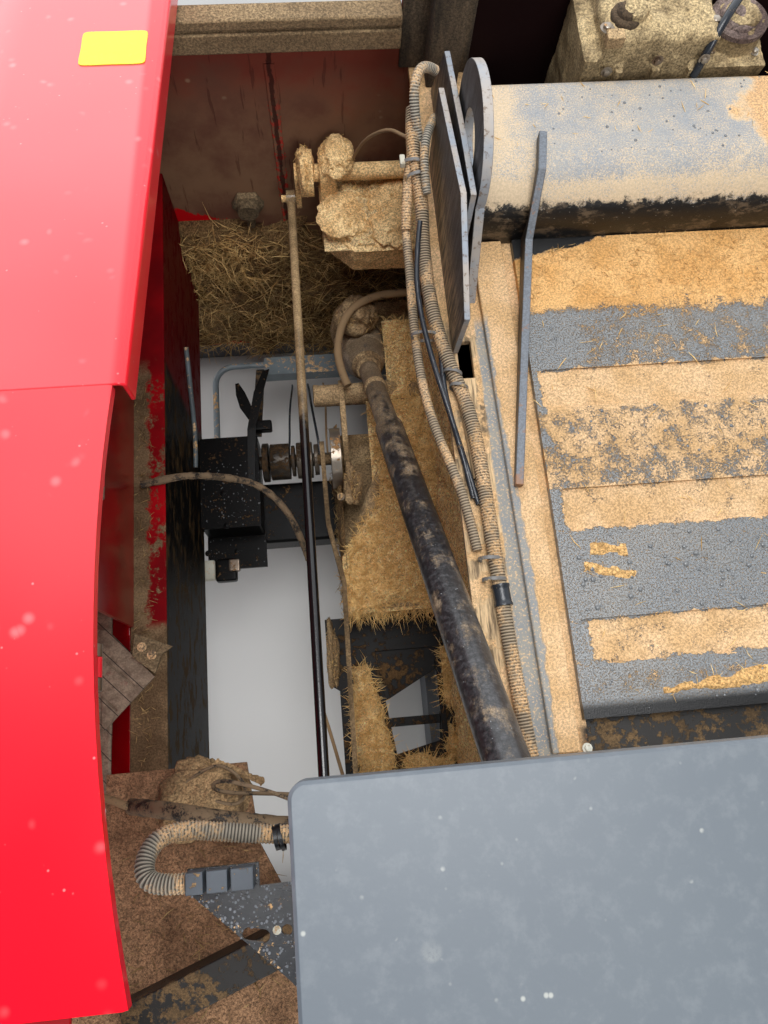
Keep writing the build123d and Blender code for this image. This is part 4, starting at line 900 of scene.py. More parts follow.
# %% Merge, bevel and finish a node
skins = {
    # node: (finish, bevel in millimetres)
    "frame_rails": ("frame_paint", 3.0),
    "wall_left": ("flange_dust", 1.5),
    "wall_right": ("frame_paint", 1.5),
    "deck": ("deck_paint", 1.0),
    "rear_plate": ("black_dusty", 1.0),
    "edge_strips": ("flange_dust", 2.0),
    "cross_beam": ("beam_paint", 2.0),
    "eye_plates": ("plate_steel", 1.5),
    "gusset_plates": ("plate_steel", 1.2),
    "flat_bar": ("bar_paint", 1.2),
    "bulkhead": ("bulkhead_paint", 1.0),
    "top_rail": ("khaki_dust", 3.0),
    "corner_post": ("post_dust", 3.0),
    "side_rail": ("rail_paint", 2.0),
    "side_liner": ("inner_red", 1.5),
    "shield_hinges": ("worn_steel", 0.8),
    "shield_rear": ("red_gloss", 1.6),
    "shield_front": ("red_gloss", 1.6),
    "hood": ("hood_satin", 1.0),
    "hood_posts": ("frame_paint", 2.0),
    "guard_lower": ("guard_plastic", 0.6),
    "guard_upper": ("guard_plastic", 0.6),
    "top_gearbox": ("cast_dust", 2.0),
    "trip_shaft": ("shelf_dust", 2.0),
    "linkage_rod": ("rod_paint", 0.6),
    "rear_arm": ("black_wet", 1.0),
    "idler_carrier": ("knuckle_dust", 1.5),
    "idler_wheel": ("worn_steel", 1.0),
    "bent_strap": ("strap_dust", 1.0),
    "lower_bracket": ("fold_dust", 1.0),
    "chain_case": ("knuckle_dust", 3.0),
    "drive_box": ("black_wet", 2.0),
    "hub_shaft": ("hub_grimy", 1.5),
    "cross_housing": ("black_wet", 2.0),
    "lower_shelf": ("shade_dusty", 1.0),
    "channel_bar": ("pale_pipe", 1.5),
    "pipe_loop": ("pale_pipe", 0.0),
    "stay_strap": ("black_dusty", 1.5),
    "floor_sheet": ("floor_dust", 1.0),
    "step_flap": ("plank_dust", 0.8),
    "flap_bracket": ("fold_dust", 0.8),
    "skirt_sheet": ("inner_red", 1.0),
    "rear_brace": ("black_dusty", 2.0),
    "corner_gusset": ("gusset_wet", 0.8),
    "connector_blocks": ("connector_grey", 1.0),
}
crusts = {
    # node: (finish, grid step, thickness and lump size in millimetres, bare radius round the trip shaft)
    "joint_gearbox": ("knuckle_dust", 4.0, 6.0, 34.0, 0.0),
    "main_gearbox": ("cast_dust", 4.5, 8.0, 46.0, 0.0),
    "trip_bracket": ("shelf_dust", 4.0, 7.0, 38.0, 26.0),
    "tension_tube": ("knuckle_dust", 3.0, 3.0, 20.0, 0.0),
    "latch_housing": ("latch_dust", 3.5, 5.0, 30.0, 0.0),
    "level_sensor": ("fold_dust", 3.0, 3.0, 22.0, 0.0),
}
slot_of = {s["node"]: s["material_slot"] for s in frame["record"]["subparts"]}
body_of = {n: b for b, members in frame["record"]["behaviour"]["bodies"].items() for n in members}
sharp_turn = np.radians(32.0)


def merged_copy(node):
    """Copy of a node's mesh with its doubles merged and its coplanar triangles joined."""
    mesh = nodes[node].data.copy()
    work = bmesh.new()
    work.from_mesh(mesh)
    bmesh.ops.remove_doubles(work, verts=work.verts, dist=1e-5)
    bmesh.ops.dissolve_limit(work, angle_limit=np.radians(0.4), verts=work.verts, edges=work.edges)
    work.to_mesh(mesh)
    work.free()
    mesh.materials.clear()
    return mesh


def stand_for(node, mesh, finish):
    """Object with the mesh and finish that rides like the node and replaces it."""
    mesh.materials.append(finishes[finish])
    mesh.shade_smooth()
    mesh.set_sharp_from_angle(angle=sharp_turn)
    piece = bpy.data.objects.new(node + "_skin", mesh)
    bpy.context.scene.collection.objects.link(piece)
    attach(piece, body_of[node])
    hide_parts(node)
    return piece


def skin(node, finish, bevel_mm):
    """The merged copy with its edges bevelled."""
    piece = stand_for(node, merged_copy(node), finish)
    if bevel_mm > 0:
        bevel = piece.modifiers.new("rim", "BEVEL")
        bevel.width = bevel_mm / 1000.0
        bevel.segments = 2
        bevel.limit_method = "ANGLE"
        bevel.angle_limit = sharp_turn
        bevel.harden_normals = True
    weigh = piece.modifiers.new("flats", "WEIGHTED_NORMAL")
    weigh.keep_sharp = True


for node, (finish, bevel_mm) in skins.items():
    skin(node, finish, bevel_mm)
print("skins made:", len(skins))

# %% [markdown]
# ## Castings under a crust
#
# Oil and chaff turn into a crust that hides the edges of gearboxes, levers and brackets. Bevels can't give
# that. So the copy is rebuilt as an even grid of small faces, and every vertex is pushed out along its normal
# by smooth noise: a lot on top, where chaff settles, and little on upright faces. Round the trip shaft's
# bearings nothing grows, because the shaft keeps them clean as it turns.


# %% Rebuild and grow
def cloud(points, cell, seed):
    """Smooth noise, mostly from -1 to 1: the sum of twenty sine waves, each in its own direction."""
    chance = np.random.default_rng(seed)
    count = 20
    waves = chance.normal(size=(points.shape[-1], count))
    waves *= 2.0 * np.pi / (cell * chance.uniform(0.7, 2.0, count) * np.linalg.norm(waves, axis=0))
    return np.sin(points @ waves + chance.uniform(0.0, 2.0 * np.pi, count)).sum(axis=-1) / 5.0


trip_axis_yz = np.array([0.585, 0.860])


def crusted_skin(node, finish, step, thick, lump, bare):
    """Merged copy, rebuilt on a grid and grown: thickness times (0.4 + noise), more where it faces up."""
    carrier = bpy.data.objects.new("carrier", merged_copy(node))
    bpy.context.scene.collection.objects.link(carrier)
    rebuild = carrier.modifiers.new("grid", "REMESH")
    rebuild.mode = "VOXEL"
    rebuild.voxel_size = step / 1000.0
    mesh = bpy.data.meshes.new_from_object(carrier.evaluated_get(bpy.context.evaluated_depsgraph_get()))
    bpy.data.objects.remove(carrier)
    places, normals = np.empty((2, len(mesh.vertices) * 3))
    mesh.vertices.foreach_get("co", places)
    mesh.vertices.foreach_get("normal", normals)
    places, normals = places.reshape(-1, 3), normals.reshape(-1, 3)
    growth = 0.4 + 0.6 * cloud(places, lump / 1000.0, 5) + 0.25 * cloud(places, lump / 4000.0, 6)
    growth = np.clip(growth, -0.1, 1.5) * (0.35 + 0.65 * np.clip(normals[:, 2], 0.0, 1.0))
    if bare:
        from_axis = np.linalg.norm(places[:, 1:] - trip_axis_yz, axis=1)
        growth *= np.clip((from_axis - bare / 1000.0) / 0.008, 0.0, 1.0)
    places = places + normals * (growth * thick / 1000.0)[:, None]
    mesh.vertices.foreach_set("co", places.ravel())
    mesh.update()
    stand_for(node, mesh, finish)
    print(node, "crust faces:", len(mesh.polygons))


for node, row in crusts.items():
    crusted_skin(node, *row)

# %% [markdown]
# ## Conduits and hoses
#
# Cables run to the trip lever inside split corrugated conduit: plain hoops side by side, with a deep groove
# between each two. A twisted screw thread would be the easy guess and is wrong for this material. Each
# conduit follows a smooth curve through the air between its clips, and its wall is a circle carried along
# that curve, whose radius rises and falls once for every hoop.


# %% A line read from a spline, and a tube along it
def read_line(points, spacing):
    """Points of the smooth curve that the route's control points shape, the same distance apart."""
    data = bpy.data.curves.new("route", "CURVE")
    data.dimensions = "3D"
    spline = data.splines.new("NURBS")
    spline.points.add(len(points) - 1)
    for spot, place in zip(spline.points, points):
        spot.co = (*[c / 1000.0 for c in place], 1.0)
    spline.order_u = 3
    spline.use_endpoint_u = True
    spline.resolution_u = 24
    carrier = bpy.data.objects.new("route", data)
    mesh = bpy.data.meshes.new_from_object(carrier)
    line = np.empty(len(mesh.vertices) * 3)
    mesh.vertices.foreach_get("co", line)
    bpy.data.objects.remove(carrier)
    bpy.data.meshes.remove(mesh)
    line = line.reshape(-1, 3)
    along = np.append(0.0, np.cumsum(np.linalg.norm(np.diff(line, axis=0), axis=1)))
    even = np.linspace(0.0, along[-1], int(along[-1] / spacing) + 2)
    return np.stack([np.interp(even, along, line[:, axis]) for axis in range(3)], axis=1), even


def across(line, reference):
    """Side and up directions across a line: the line's direction crossed with a reference, and again."""
    ahead = unit(np.gradient(line, axis=0))
    side = unit(np.cross(ahead, np.array(reference, dtype=float)))
    return side, np.cross(ahead, side)


def grid_faces(rows, columns, wrap=False):
    """Quads between neighbouring rows and columns; wrap joins the last column to the first."""
    index = np.arange(rows * columns).reshape(rows, columns)
    if wrap:
        index = np.concatenate([index, index[:, :1]], axis=1)
    quads = np.stack([index[:-1, :-1], index[:-1, 1:], index[1:, 1:], index[1:, :-1]], axis=-1)
    return quads.reshape(-1, 4).tolist()


def ring_faces(rings, around):
    """Faces of a stack of rings of points, with a flat face at both ends."""
    last = (rings - 1) * around
    ends = [list(range(around))[::-1], list(range(last, last + around))]
    return grid_faces(rings, around, wrap=True) + ends


def tube(line, radius, around, reference):
    """Tube: at every point of the line a circle of that point's radius, with both ends closed."""
    side, up = across(line, reference)
    angle = np.linspace(0.0, 2.0 * np.pi, around, endpoint=False)
    ring = np.cos(angle)[None, :, None] * side[:, None] + np.sin(angle)[None, :, None] * up[:, None]
    places = line[:, None] + np.asarray(radius).reshape(-1, 1, 1) * ring
    return places.reshape(-1, 3), ring_faces(len(line), around)


def new_piece(name, vertices, faces, finish, body, slot, groove=None, turn_out=False, smooth=True):
    """Mesh object at the origin that rides on a body; groove is a value per vertex for its finish."""
    mesh = bpy.data.meshes.new(name)
    mesh.from_pydata(np.asarray(vertices).reshape(-1, 3).tolist(), [], faces)
    if turn_out:
        work = bmesh.new()
        work.from_mesh(mesh)
        bmesh.ops.recalc_face_normals(work, faces=work.faces)
        work.to_mesh(mesh)
        work.free()
    if groove is not None:
        mesh.attributes.new("groove", "FLOAT", "POINT").data.foreach_set("value", np.ravel(groove))
    if smooth:
        mesh.shade_smooth()
        mesh.set_sharp_from_angle(angle=np.radians(50.0))
    mesh.materials.append(finishes[finish])
    piece = bpy.data.objects.new(name, mesh)
    bpy.context.scene.collection.objects.link(piece)
    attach(piece, body)
    return piece


# %% [markdown]
# ## The runs themselves
#
# The table gives each run's node, diameter, finish, whether it is corrugated, the direction that its ring
# starts from, and the control points of its curve in millimetres. The same points shaped the plain hose in
# the construction, so each dressed run replaces that hose and stays where its clips hold it.

# %% Corrugated and plain runs
hoop_pitch = 0.0042
groove_share = 0.14


def groove_depth(along):
    """Depth from 0 on a hoop to 1 in a groove: a cosine wave along the line, cut flat at both."""
    return np.clip(0.5 - 0.8 * np.cos(2.0 * np.pi * along / hoop_pitch), 0.0, 1.0)


runs = [
    # node, diameter in mm, finish, corrugated, ring reference, control points in mm
    ("conduit_main", 22, "conduit_tan", True, (0, 0, 1), [
        (-112, -520, 1049.3), (-119, -420, 1049.3), (-125, -300, 1049.3), (-128, -180, 1049.3),
        (-131, -70, 1049.3), (-139, 5, 1049.3), (-160, 70, 1053), (-178, 160, 1058), (-182, 260, 1070),
        (-178, 340, 1095), (-190, 410, 1120), (-182, 470, 1130)]),
    ("conduit_branch", 15, "conduit_tan", True, (0, 0, 1), [
        (-150, -218, 1046), (-158, -150, 1046), (-173, -90, 1046), (-192, -20, 1040), (-203, 60, 1036),
        (-205, 160, 1040), (-203, 240, 1050), (-204, 310, 1062)]),
    ("conduit_rear", 24, "conduit_pale", True, (0, 0, 1), [
        (-551, -601, 1112.4), (-592, -602, 1112.4), (-604, -578, 1103), (-592, -552, 1085),
        (-560, -546, 1070), (-510, -556, 1058), (-440, -566, 1051), (-360, -572, 1050), (-260, -578, 1050),
        (-150, -581, 1050.3)]),
    ("black_cable", 9, "cable_gloss", False, (0, 0, 1), [
        (-146, -140, 1043), (-153, -80, 1043), (-171, -10, 1068), (-186, 60, 1072), (-199, 150, 1078),
        (-199, 220, 1086), (-186, 290, 1098)]),
    ("hose_across", 14, "hose_crusty", False, (0, 1, 0), [
        (-680, -4, 808), (-620, 8, 808), (-580, 16, 780), (-540, 24, 736), (-490, 18, 710), (-448, -14, 680),
        (-420, -60, 640), (-405, -110, 590)]),
    ("hose_arch", 18, "hose_dusty", False, (0, 0, 1), [
        (-300, 250, 620), (-318, 300, 622), (-312, 370, 626), (-282, 425, 632), (-230, 450, 636),
        (-175, 452, 640), (-118.3, 452, 640)]),
    ("hose_rear", 26, "hose_crusty", False, (0, 1, 0), [
        (-690, -530, 822), (-620, -534, 900), (-560, -548, 916), (-500, -560, 912), (-440, -572, 905),
        (-360, -580, 900), (-260, -584, 900), (-118.3, -586, 900)]),
]
for node, diameter, finish, corrugated, reference, points in runs:
    spacing = hoop_pitch / 4.0 if corrugated else 0.004
    line, along = read_line(points, spacing)
    if corrugated:
        depth = groove_depth(along)
        groove = np.repeat(depth, 18)
        vertices, faces = tube(line, diameter / 2000.0 * (1.0 - groove_share * depth), 18, reference)
    else:
        crust = 0.6 if finish == "hose_crusty" else 0.25
        lumps = cloud(line, 0.012, 3) * crust / 1000.0
        vertices, faces = tube(line, diameter / 2000.0 - 0.0005 + lumps, 20, reference)
        groove = None
    run = new_piece(node + "_run", vertices, faces, finish, body_of[node], slot_of[node], groove)
    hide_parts(node)
    print(node, "length", round(along[-1], 3), "m")

# %% [markdown]
# ## More of the loom
#
# Several thinner runs cross the wide conduits and disappear under the gusset plates. They are held along
# their whole length by ties, so they are fixed pieces like the conduits. The ties themselves are flat bands
# round a bundle, an ellipse carried along a rectangle's outline, each with the small block of its lock.


# %% Thin runs, collars and ties
def extra_run(name, diameter, finish, corrugated, reference, points, slot="conduit"):
    """A run that has no node of its own."""
    line, along = read_line(points, hoop_pitch / 4.0 if corrugated else 0.005)
    depth = groove_depth(along) if corrugated else np.zeros_like(along)
    vertices, faces = tube(line, diameter / 2000.0 * (1.0 - groove_share * depth), 16, reference)
    return new_piece(name, vertices, faces, finish, "frame", slot, np.repeat(depth, 16))


extra_run("conduit_loop_upper", 16, "conduit_pale", True, (0, 0, 1), [
    (-176, 420, 1118), (-184, 448, 1150), (-182, 480, 1176), (-166, 506, 1180), (-146, 512, 1160)])
extra_run("conduit_loop_inner", 14, "conduit_pale", True, (0, 0, 1), [
    (-172, 330, 1110), (-176, 372, 1128), (-166, 420, 1140), (-150, 452, 1130)])
extra_run("conduit_under", 17, "conduit_tan", True, (0, 0, 1), [
    (-204, 300, 1066), (-200, 350, 1090), (-192, 390, 1108), (-184, 420, 1122)])
extra_run("grey_lead_left", 8, "cable_gloss", False, (0, 0, 1), [
    (-168, 120, 1052), (-172, 60, 1048), (-166, -10, 1046), (-152, -80, 1045), (-140, -150, 1044)],
    "hose_rubber")
extra_run("grey_lead_right", 7, "hose_dusty", False, (0, 0, 1), [
    (-152, 80, 1044), (-150, 20, 1043), (-142, -40, 1042), (-139, -110, 1042)], "hose_rubber")
extra_run("lead_over_post", 6, "hose_dusty", False, (0, 0, 1), [
    (-184, 420, 1120), (-196, 452, 1095), (-214, 500, 1060), (-246, 545, 990), (-262, 575, 920),
    (-268, 585, 885)], "hose_rubber")
extra_run("rear_lead", 6, "hose_crusty", False, (0, 0, 1), [
    (-395, -560, 925), (-430, -536, 936), (-490, -512, 925), (-545, -498, 900), (-560, -510, 885),
    (-535, -520, 882), (-470, -526, 880), (-430, -532, 880)], "hose_rubber")


def ring_band(name, centre, ahead, radii, size, finish, slot="conduit"):
    """Band round a bundle: a rectangle carried round an ellipse that lies across the bundle's direction."""
    around = 40
    ahead = unit(ahead)
    side = unit(np.cross(ahead, (0.0, 0.0, 1.0)))
    up = np.cross(ahead, side)
    angle = np.linspace(0.0, 2.0 * np.pi, around, endpoint=False)[:, None]
    width, thick = size
    corner = np.array([[-0.5, 0.0], [0.5, 0.0], [0.5, 1.0], [-0.5, 1.0]]) * (width, thick)
    reach = np.array(radii)[None] + corner[:, 1:]
    places = (np.array(centre) + np.cos(angle)[..., None] * reach[None, :, :1] * side
              + np.sin(angle)[..., None] * reach[None, :, 1:] * up + corner[None, :, :1] * ahead)
    faces = np.array(grid_faces(around + 1, len(corner), wrap=True)) % (around * len(corner))
    return new_piece(name, places, faces.tolist(), finish, "frame", slot, turn_out=True)


tie_size = (0.005, 0.0014)
ties = [
    # centre in m, direction of the bundle, half width and half height in mm, finish
    ((-0.186, 0.385, 1.112), (0.1, 1.0, 0.3), (17, 14), "tie_grey"),
    ((-0.184, 0.366, 1.106), (-0.2, 1.0, 0.3), (18, 14), "tie_grey"),
    ((-0.190, 0.120, 1.052), (0.1, 1.0, 0.0), (21, 14), "tie_grey"),
    ((-0.156, 0.055, 1.053), (0.3, 1.0, 0.0), (13, 12.5), "tie_grey"),
    ((-0.149, 0.032, 1.051), (0.3, 1.0, 0.0), (13, 12.5), "tie_grey"),
    ((-0.134, -0.232, 1.048), (0.05, 1.0, 0.0), (16, 13), "tie_grey"),
    ((-0.132, -0.262, 1.048), (0.05, 1.0, 0.0), (16, 13), "tie_grey"),
    ((-0.450, -0.568, 1.052), (1.0, 0.15, 0.0), (14, 16), "tie_black"),
    ((-0.444, -0.568, 1.052), (1.0, 0.22, 0.0), (15, 17), "tie_black"),
]
for count, (centre, ahead, half, finish) in enumerate(ties):
    ring_band(f"tie_{count + 1}", centre, ahead, np.array(half) / 1000.0, tie_size, finish)
# A smooth black joint with a thicker rim at both ends slides over the wide conduit.
joint_line, _ = read_line([(-123.6, -300, 1049.3), (-124.4, -285, 1049.3), (-125.3, -270, 1049.3)], 0.003)
joint_radius = 0.0122 + 0.0012 * (np.abs(np.linspace(-1.0, 1.0, len(joint_line))) > 0.8)
joint = tube(joint_line, joint_radius, 28, (0, 0, 1))
new_piece("conduit_joint", *joint, "cable_gloss", "frame", "conduit")
print("ties:", len(ties))

# %% [markdown]
# ## Hay and chaff
#
# Dry chopped straw packs against every upright wall and on every ledge of the bay. It is built in two layers:
# a matted cake, which is the surface under it pushed out by smooth noise, and loose strands, each a bent
# three-sided blade. A cake on its own looks like mud, and strands on their own show the steel between them.


# %% Cakes and strands
def cake(name, corner, along_a, along_b, out, height, finish, seed, cell=0.03, pitch=0.006, fray=0.25,
         ends=((0.0, 1.0), (1.0, 1.0))):
    """Cake on a flat patch: corner plus a share of two sides, raised by noise that fades towards the rims.

    Height is the mean thickness; fray is the share of each side over which the rim comes and goes. Ends are
    pairs (share along a, share of b that is left there), so that the far edge can run at a slant.
    """
    corner, a, b = (np.array(v, dtype=float) for v in (corner, along_a, along_b))
    out = unit(out)
    rows = int(np.linalg.norm(a) / pitch) + 2
    columns = int(np.linalg.norm(b) / pitch) + 2
    u = np.linspace(0.0, 1.0, rows)[:, None, None]
    v = np.linspace(0.0, 1.0, columns)[None, :, None]
    share = np.interp(u, *zip(*ends))
    base = corner + u * a + v * share * b
    from_b = np.minimum(v, 1.0 - v) * share * np.linalg.norm(b)
    rim = np.minimum(np.minimum(u, 1.0 - u) * np.linalg.norm(a), from_b)[..., 0]
    ragged = rim + 0.35 * cell * (cloud(base, cell * 1.6, seed) - 0.4)
    full = np.clip(ragged / (fray * cell * 2.0), -0.2, 1.0)
    lumps = 0.65 + 0.28 * cloud(base, cell, seed + 1) + 0.12 * cloud(base, cell * 0.3, seed + 2)
    rise = np.where(full > 0.0, np.sqrt(np.abs(full)), full) * height * np.maximum(lumps, 0.12)
    for border in (rise[0], rise[-1], rise[:, 0], rise[:, -1]):
        border[:] = -0.001
    top = base + rise[..., None] * out
    low = base - 0.0025 * out
    faces = np.array(grid_faces(rows, columns))
    count = rows * columns
    first_row = np.arange(columns)
    last_column = np.arange(2 * columns - 1, count, columns)
    last_row = np.arange(count - 2, count - columns - 1, -1)
    first_column = np.arange(count - 2 * columns, 0, -columns)
    edge = np.concatenate([first_row, last_column, last_row, first_column])
    after = np.roll(edge, -1)
    walls = np.stack([edge, after, after + count, edge + count], axis=1)
    faces = np.concatenate([faces, faces[:, ::-1] + count, walls]).tolist()
    places = np.concatenate([top.reshape(-1, 3), low.reshape(-1, 3)])
    new_piece(name, places, faces, finish, "frame", "dusty_paint", turn_out=True)
    return top, rise


def strands(name, roots, directions, lengths, width, finish, seed, body="frame"):
    """Straw: each strand is a triangle carried along a slightly bent line and pinched at both ends."""
    chance = np.random.default_rng(seed)
    count = len(roots)
    ahead = unit(directions)
    side = unit(np.cross(ahead, chance.normal(size=(count, 3))))
    up = np.cross(ahead, side)
    steps = np.array([0.0, 0.5, 1.0])
    pinch = np.array([0.5, 1.1, 0.25])
    bend = (steps ** 2)[None, :, None] * side[:, None] * chance.uniform(0.0, 0.45, (count, 1, 1))
    centre = roots[:, None] + lengths[:, None, None] * (steps[None, :, None] * ahead[:, None] + bend)
    angle = np.array([0.0, 2.1, 4.2])[None, None, :, None]
    ring = np.cos(angle) * side[:, None, None] + np.sin(angle) * up[:, None, None]
    size = width * chance.uniform(0.6, 1.3, (count, 1, 1, 1)) * pinch[None, :, None, None] / 2.0
    places = centre[:, :, None] + size * ring
    first = np.arange(count)[:, None, None] * 9
    quads = (np.array(grid_faces(3, 3, wrap=True)) + first).reshape(-1, 4).tolist()
    caps = (np.array([[2, 1, 0], [6, 7, 8]]) + first).reshape(-1, 3).tolist()
    return new_piece(name, places, quads + caps, finish, body, "dusty_paint", smooth=False)


def scatter_on(top, rise, out, share, count, seed):
    """Random spots on a cake where it stands up, with directions mostly along it and a little outwards."""
    chance = np.random.default_rng(seed)
    good = np.argwhere(rise > 0.0008)
    pick = good[chance.integers(0, len(good), count)]
    roots = top[pick[:, 0], pick[:, 1]] + chance.normal(0.0, 0.002, (count, 3))
    out = unit(out)
    ways = chance.normal(size=(count, 3))
    ways = unit(ways - (ways @ out)[:, None] * out)
    return roots, ways + out * chance.uniform(0.0, share, (count, 1)), chance


def hay_patch(name, corner, a, b, out, height, finish, straw, count, length, seed, width=0.0013, lift=0.5,
              **kind):
    """A cake with its strands: how many, about how long, and how far they stand up; kind goes to the cake."""
    top, rise = cake(name, corner, a, b, out, height, finish, seed, **kind)
    roots, ways, chance = scatter_on(top, rise, out, lift, count, seed + 50)
    strands(name + "_straw", roots, ways, length * chance.uniform(0.45, 1.3, count), width, straw, seed + 90)
    return top, rise


hay_rows = [
    # name, corner, side a, side b, outwards, thickness, finish, straw, count, length, seed, other values
    ("wall_hay", (-0.1185, -0.60, 0.34), (0, 1.02, 0), (0, 0, 0.66), (-1, 0, 0), 0.018, "hay_gold",
     "straw_bright", 3200, 0.022, 11, {"cell": 0.05, "pitch": 0.007}),
    ("bulkhead_hay", (-0.742, 0.650, 0.100), (0.62, 0, 0), (0, 0, 0.55), (0, -1, 0), 0.055, "hay_brown",
     "straw_dull", 3600, 0.045, 21, {"cell": 0.08, "pitch": 0.007, "width": 0.0016, "lift": 0.7}),
    ("bulkhead_hay_bright", (-0.700, 0.640, 0.42), (0.24, 0, 0), (0, 0, 0.22), (0, -1, 0.2), 0.05,
     "hay_brown", "straw_gold", 900, 0.040, 25, {"cell": 0.07, "pitch": 0.007, "width": 0.0018, "lift": 0.7}),
    ("shelf_cake", (-0.330, 0.445, 0.8115), (0.214, 0, 0), (0, 0.175, 0), (0, 0, 1), 0.030, "chaff_pale",
     "straw_bright", 900, 0.012, 31, {"cell": 0.045, "pitch": 0.004, "width": 0.001, "fray": 0.5}),
    ("case_cake", (-0.338, -0.222, 0.560), (0.222, 0, 0), (0, 0.27, 0), (0, 0, 1), 0.034, "hay_gold",
     "straw_bright", 3600, 0.022, 41, {"cell": 0.05, "pitch": 0.005, "width": 0.0015,
                                       "ends": ((0.0, 0.44), (0.495, 1.0), (1.0, 1.0))}),
    ("case_cake_front", (-0.262, 0.00, 0.559), (0.146, 0, 0), (0, 0.24, 0), (0, 0, 1), 0.026, "hay_gold",
     "straw_bright", 2200, 0.022, 45, {"cell": 0.05, "pitch": 0.005, "width": 0.0015}),
    ("knuckle_hay", (-0.212, 0.24, 0.565), (0.094, 0, 0), (0, 0.19, 0), (0, 0, 1), 0.034, "hay_gold",
     "straw_bright", 900, 0.018, 48, {"cell": 0.05, "pitch": 0.005, "fray": 0.8}),
    ("shelf_heap_left", (-0.360, -0.592, 0.466), (0, 0.290, 0), (0.113, 0, 0), (0, 0, 1), 0.040, "hay_gold",
     "straw_bright", 1300, 0.026, 51, {"cell": 0.05, "pitch": 0.005, "ends": ((0.0, 1.0), (1.0, 0.63))}),
    ("shelf_heap_rear", (-0.252, -0.594, 0.466), (0.132, 0, 0), (0, 0.109, 0), (0, 0, 1), 0.044, "hay_gold",
     "straw_bright", 700, 0.026, 59, {"cell": 0.05, "pitch": 0.005, "ends": ((0.0, 0.79), (1.0, 1.0))}),
    ("shelf_heap_right", (-0.119, -0.510, 0.466), (0, 0.220, 0), (-0.044, 0, 0), (0, 0, 1), 0.040, "hay_gold",
     "straw_bright", 600, 0.026, 53, {"cell": 0.05, "pitch": 0.005, "ends": ((0.0, 1.0), (1.0, 0.61))}),
    ("deck_front_dust", (-0.030, 0.168, 1.0502), (0.66, 0, 0), (0, 0.112, 0), (0, 0, 1), 0.0035, "deck_paint",
     "straw_gold", 900, 0.011, 55, {"cell": 0.05, "pitch": 0.004, "width": 0.0010, "fray": 0.3,
                                    "ends": ((0.0, 0.72), (0.22, 1.0), (1.0, 1.0))}),
    ("deck_rear_dust", (0.078, -0.436, 1.0500), (0.50, -0.004, 0), (0, 0.034, 0), (0, 0, 1), 0.006, "sawdust",
     "straw_bright", 160, 0.012, 57, {"cell": 0.012, "pitch": 0.0025, "width": 0.0010, "fray": 0.3,
                                      "ends": ((0.0, 0.25), (0.35, 1.0), (1.0, 1.0))}),
    ("deck_lump_front", (0.008, -0.238, 1.0500), (0.056, -0.006, 0), (0, 0.020, 0), (0, 0, 1), 0.003,
     "sawdust", "straw_gold", 30, 0.008, 61, {"cell": 0.010, "pitch": 0.002, "width": 0.0009, "fray": 0.4}),
    ("deck_lump_rear", (-0.006, -0.262, 1.0500), (0.076, -0.018, 0), (0.004, 0.017, 0), (0, 0, 1), 0.004,
     "sawdust", "straw_gold", 40, 0.008, 63, {"cell": 0.010, "pitch": 0.002, "width": 0.0009, "fray": 0.4}),
    ("case_side_hay", (-0.331, -0.21, 0.33), (0, 0.40, 0), (0, 0, 0.23), (-1, 0, 0), 0.012, "hay_brown",
     "straw_dull", 500, 0.018, 47, {"cell": 0.05, "pitch": 0.006}),
]
heaps = {name: hay_patch(name, *row, **others) for name, *row, others in hay_rows}
print("patches of hay and dust:", len(heaps))

# %% [markdown]
# ## Long straw and a fringe
#
# Two more lots of straw break the cakes' outlines. Longer stalks lie over the heap at the bulkhead, and a
# fringe hangs from the rear edge of the chain case. Each stalk is the same bent blade as before.

# %% Long straw on the heap
long_count = 1500
long_roots, long_ways, chance = scatter_on(*heaps["bulkhead_hay"], (0, -1, 0), 0.7, long_count, 71)
strands("bulkhead_straw_long", long_roots, long_ways, 0.060 * chance.uniform(0.5, 1.3, long_count), 0.0020,
        "straw_gold", 72)

# %% Fringe that hangs from the chain case
chance = np.random.default_rng(77)
fringe_count = 420
fringe_box = ((-0.335, -0.125), (-0.226, -0.206), (0.535, 0.572))
fringe_roots = np.stack([chance.uniform(low, high, fringe_count) for low, high in fringe_box], axis=1)
sideways = chance.normal(0.0, 0.35, fringe_count)
back_and_down = [chance.uniform(-1.0, -0.1, fringe_count) for _ in range(2)]
fringe_ways = np.stack([sideways, *back_and_down], axis=1)
fringe_lengths = chance.uniform(0.012, 0.045, fringe_count)
strands("case_fringe", fringe_roots, fringe_ways, fringe_lengths, 0.0013, "straw_bright", 78)
print("fringe strands:", fringe_count)

# %% [markdown]
# ## Loose straw
#
# Single stalks lie flat wherever a sheet is level: on the deck, the beam, the rear floor and the side rail.
# Each lot fills a thin box just over its sheet, with every stalk turned its own way.


# %% Loose straw on the deck, the rear floor and the rails
def loose_straw(name, low, high, count, length, finish, seed, width=0.0012):
    """Short straws that lie flat inside a box, in every direction of the plane."""
    chance = np.random.default_rng(seed)
    roots = chance.uniform(low, high, (count, 3))
    turn = chance.uniform(0.0, 2.0 * np.pi, count)
    ways = np.stack([np.cos(turn), np.sin(turn), chance.uniform(-0.02, 0.08, count)], axis=1)
    strands(name, roots, ways, chance.uniform(0.3, 1.0, count) * length, width, finish, seed + 1)


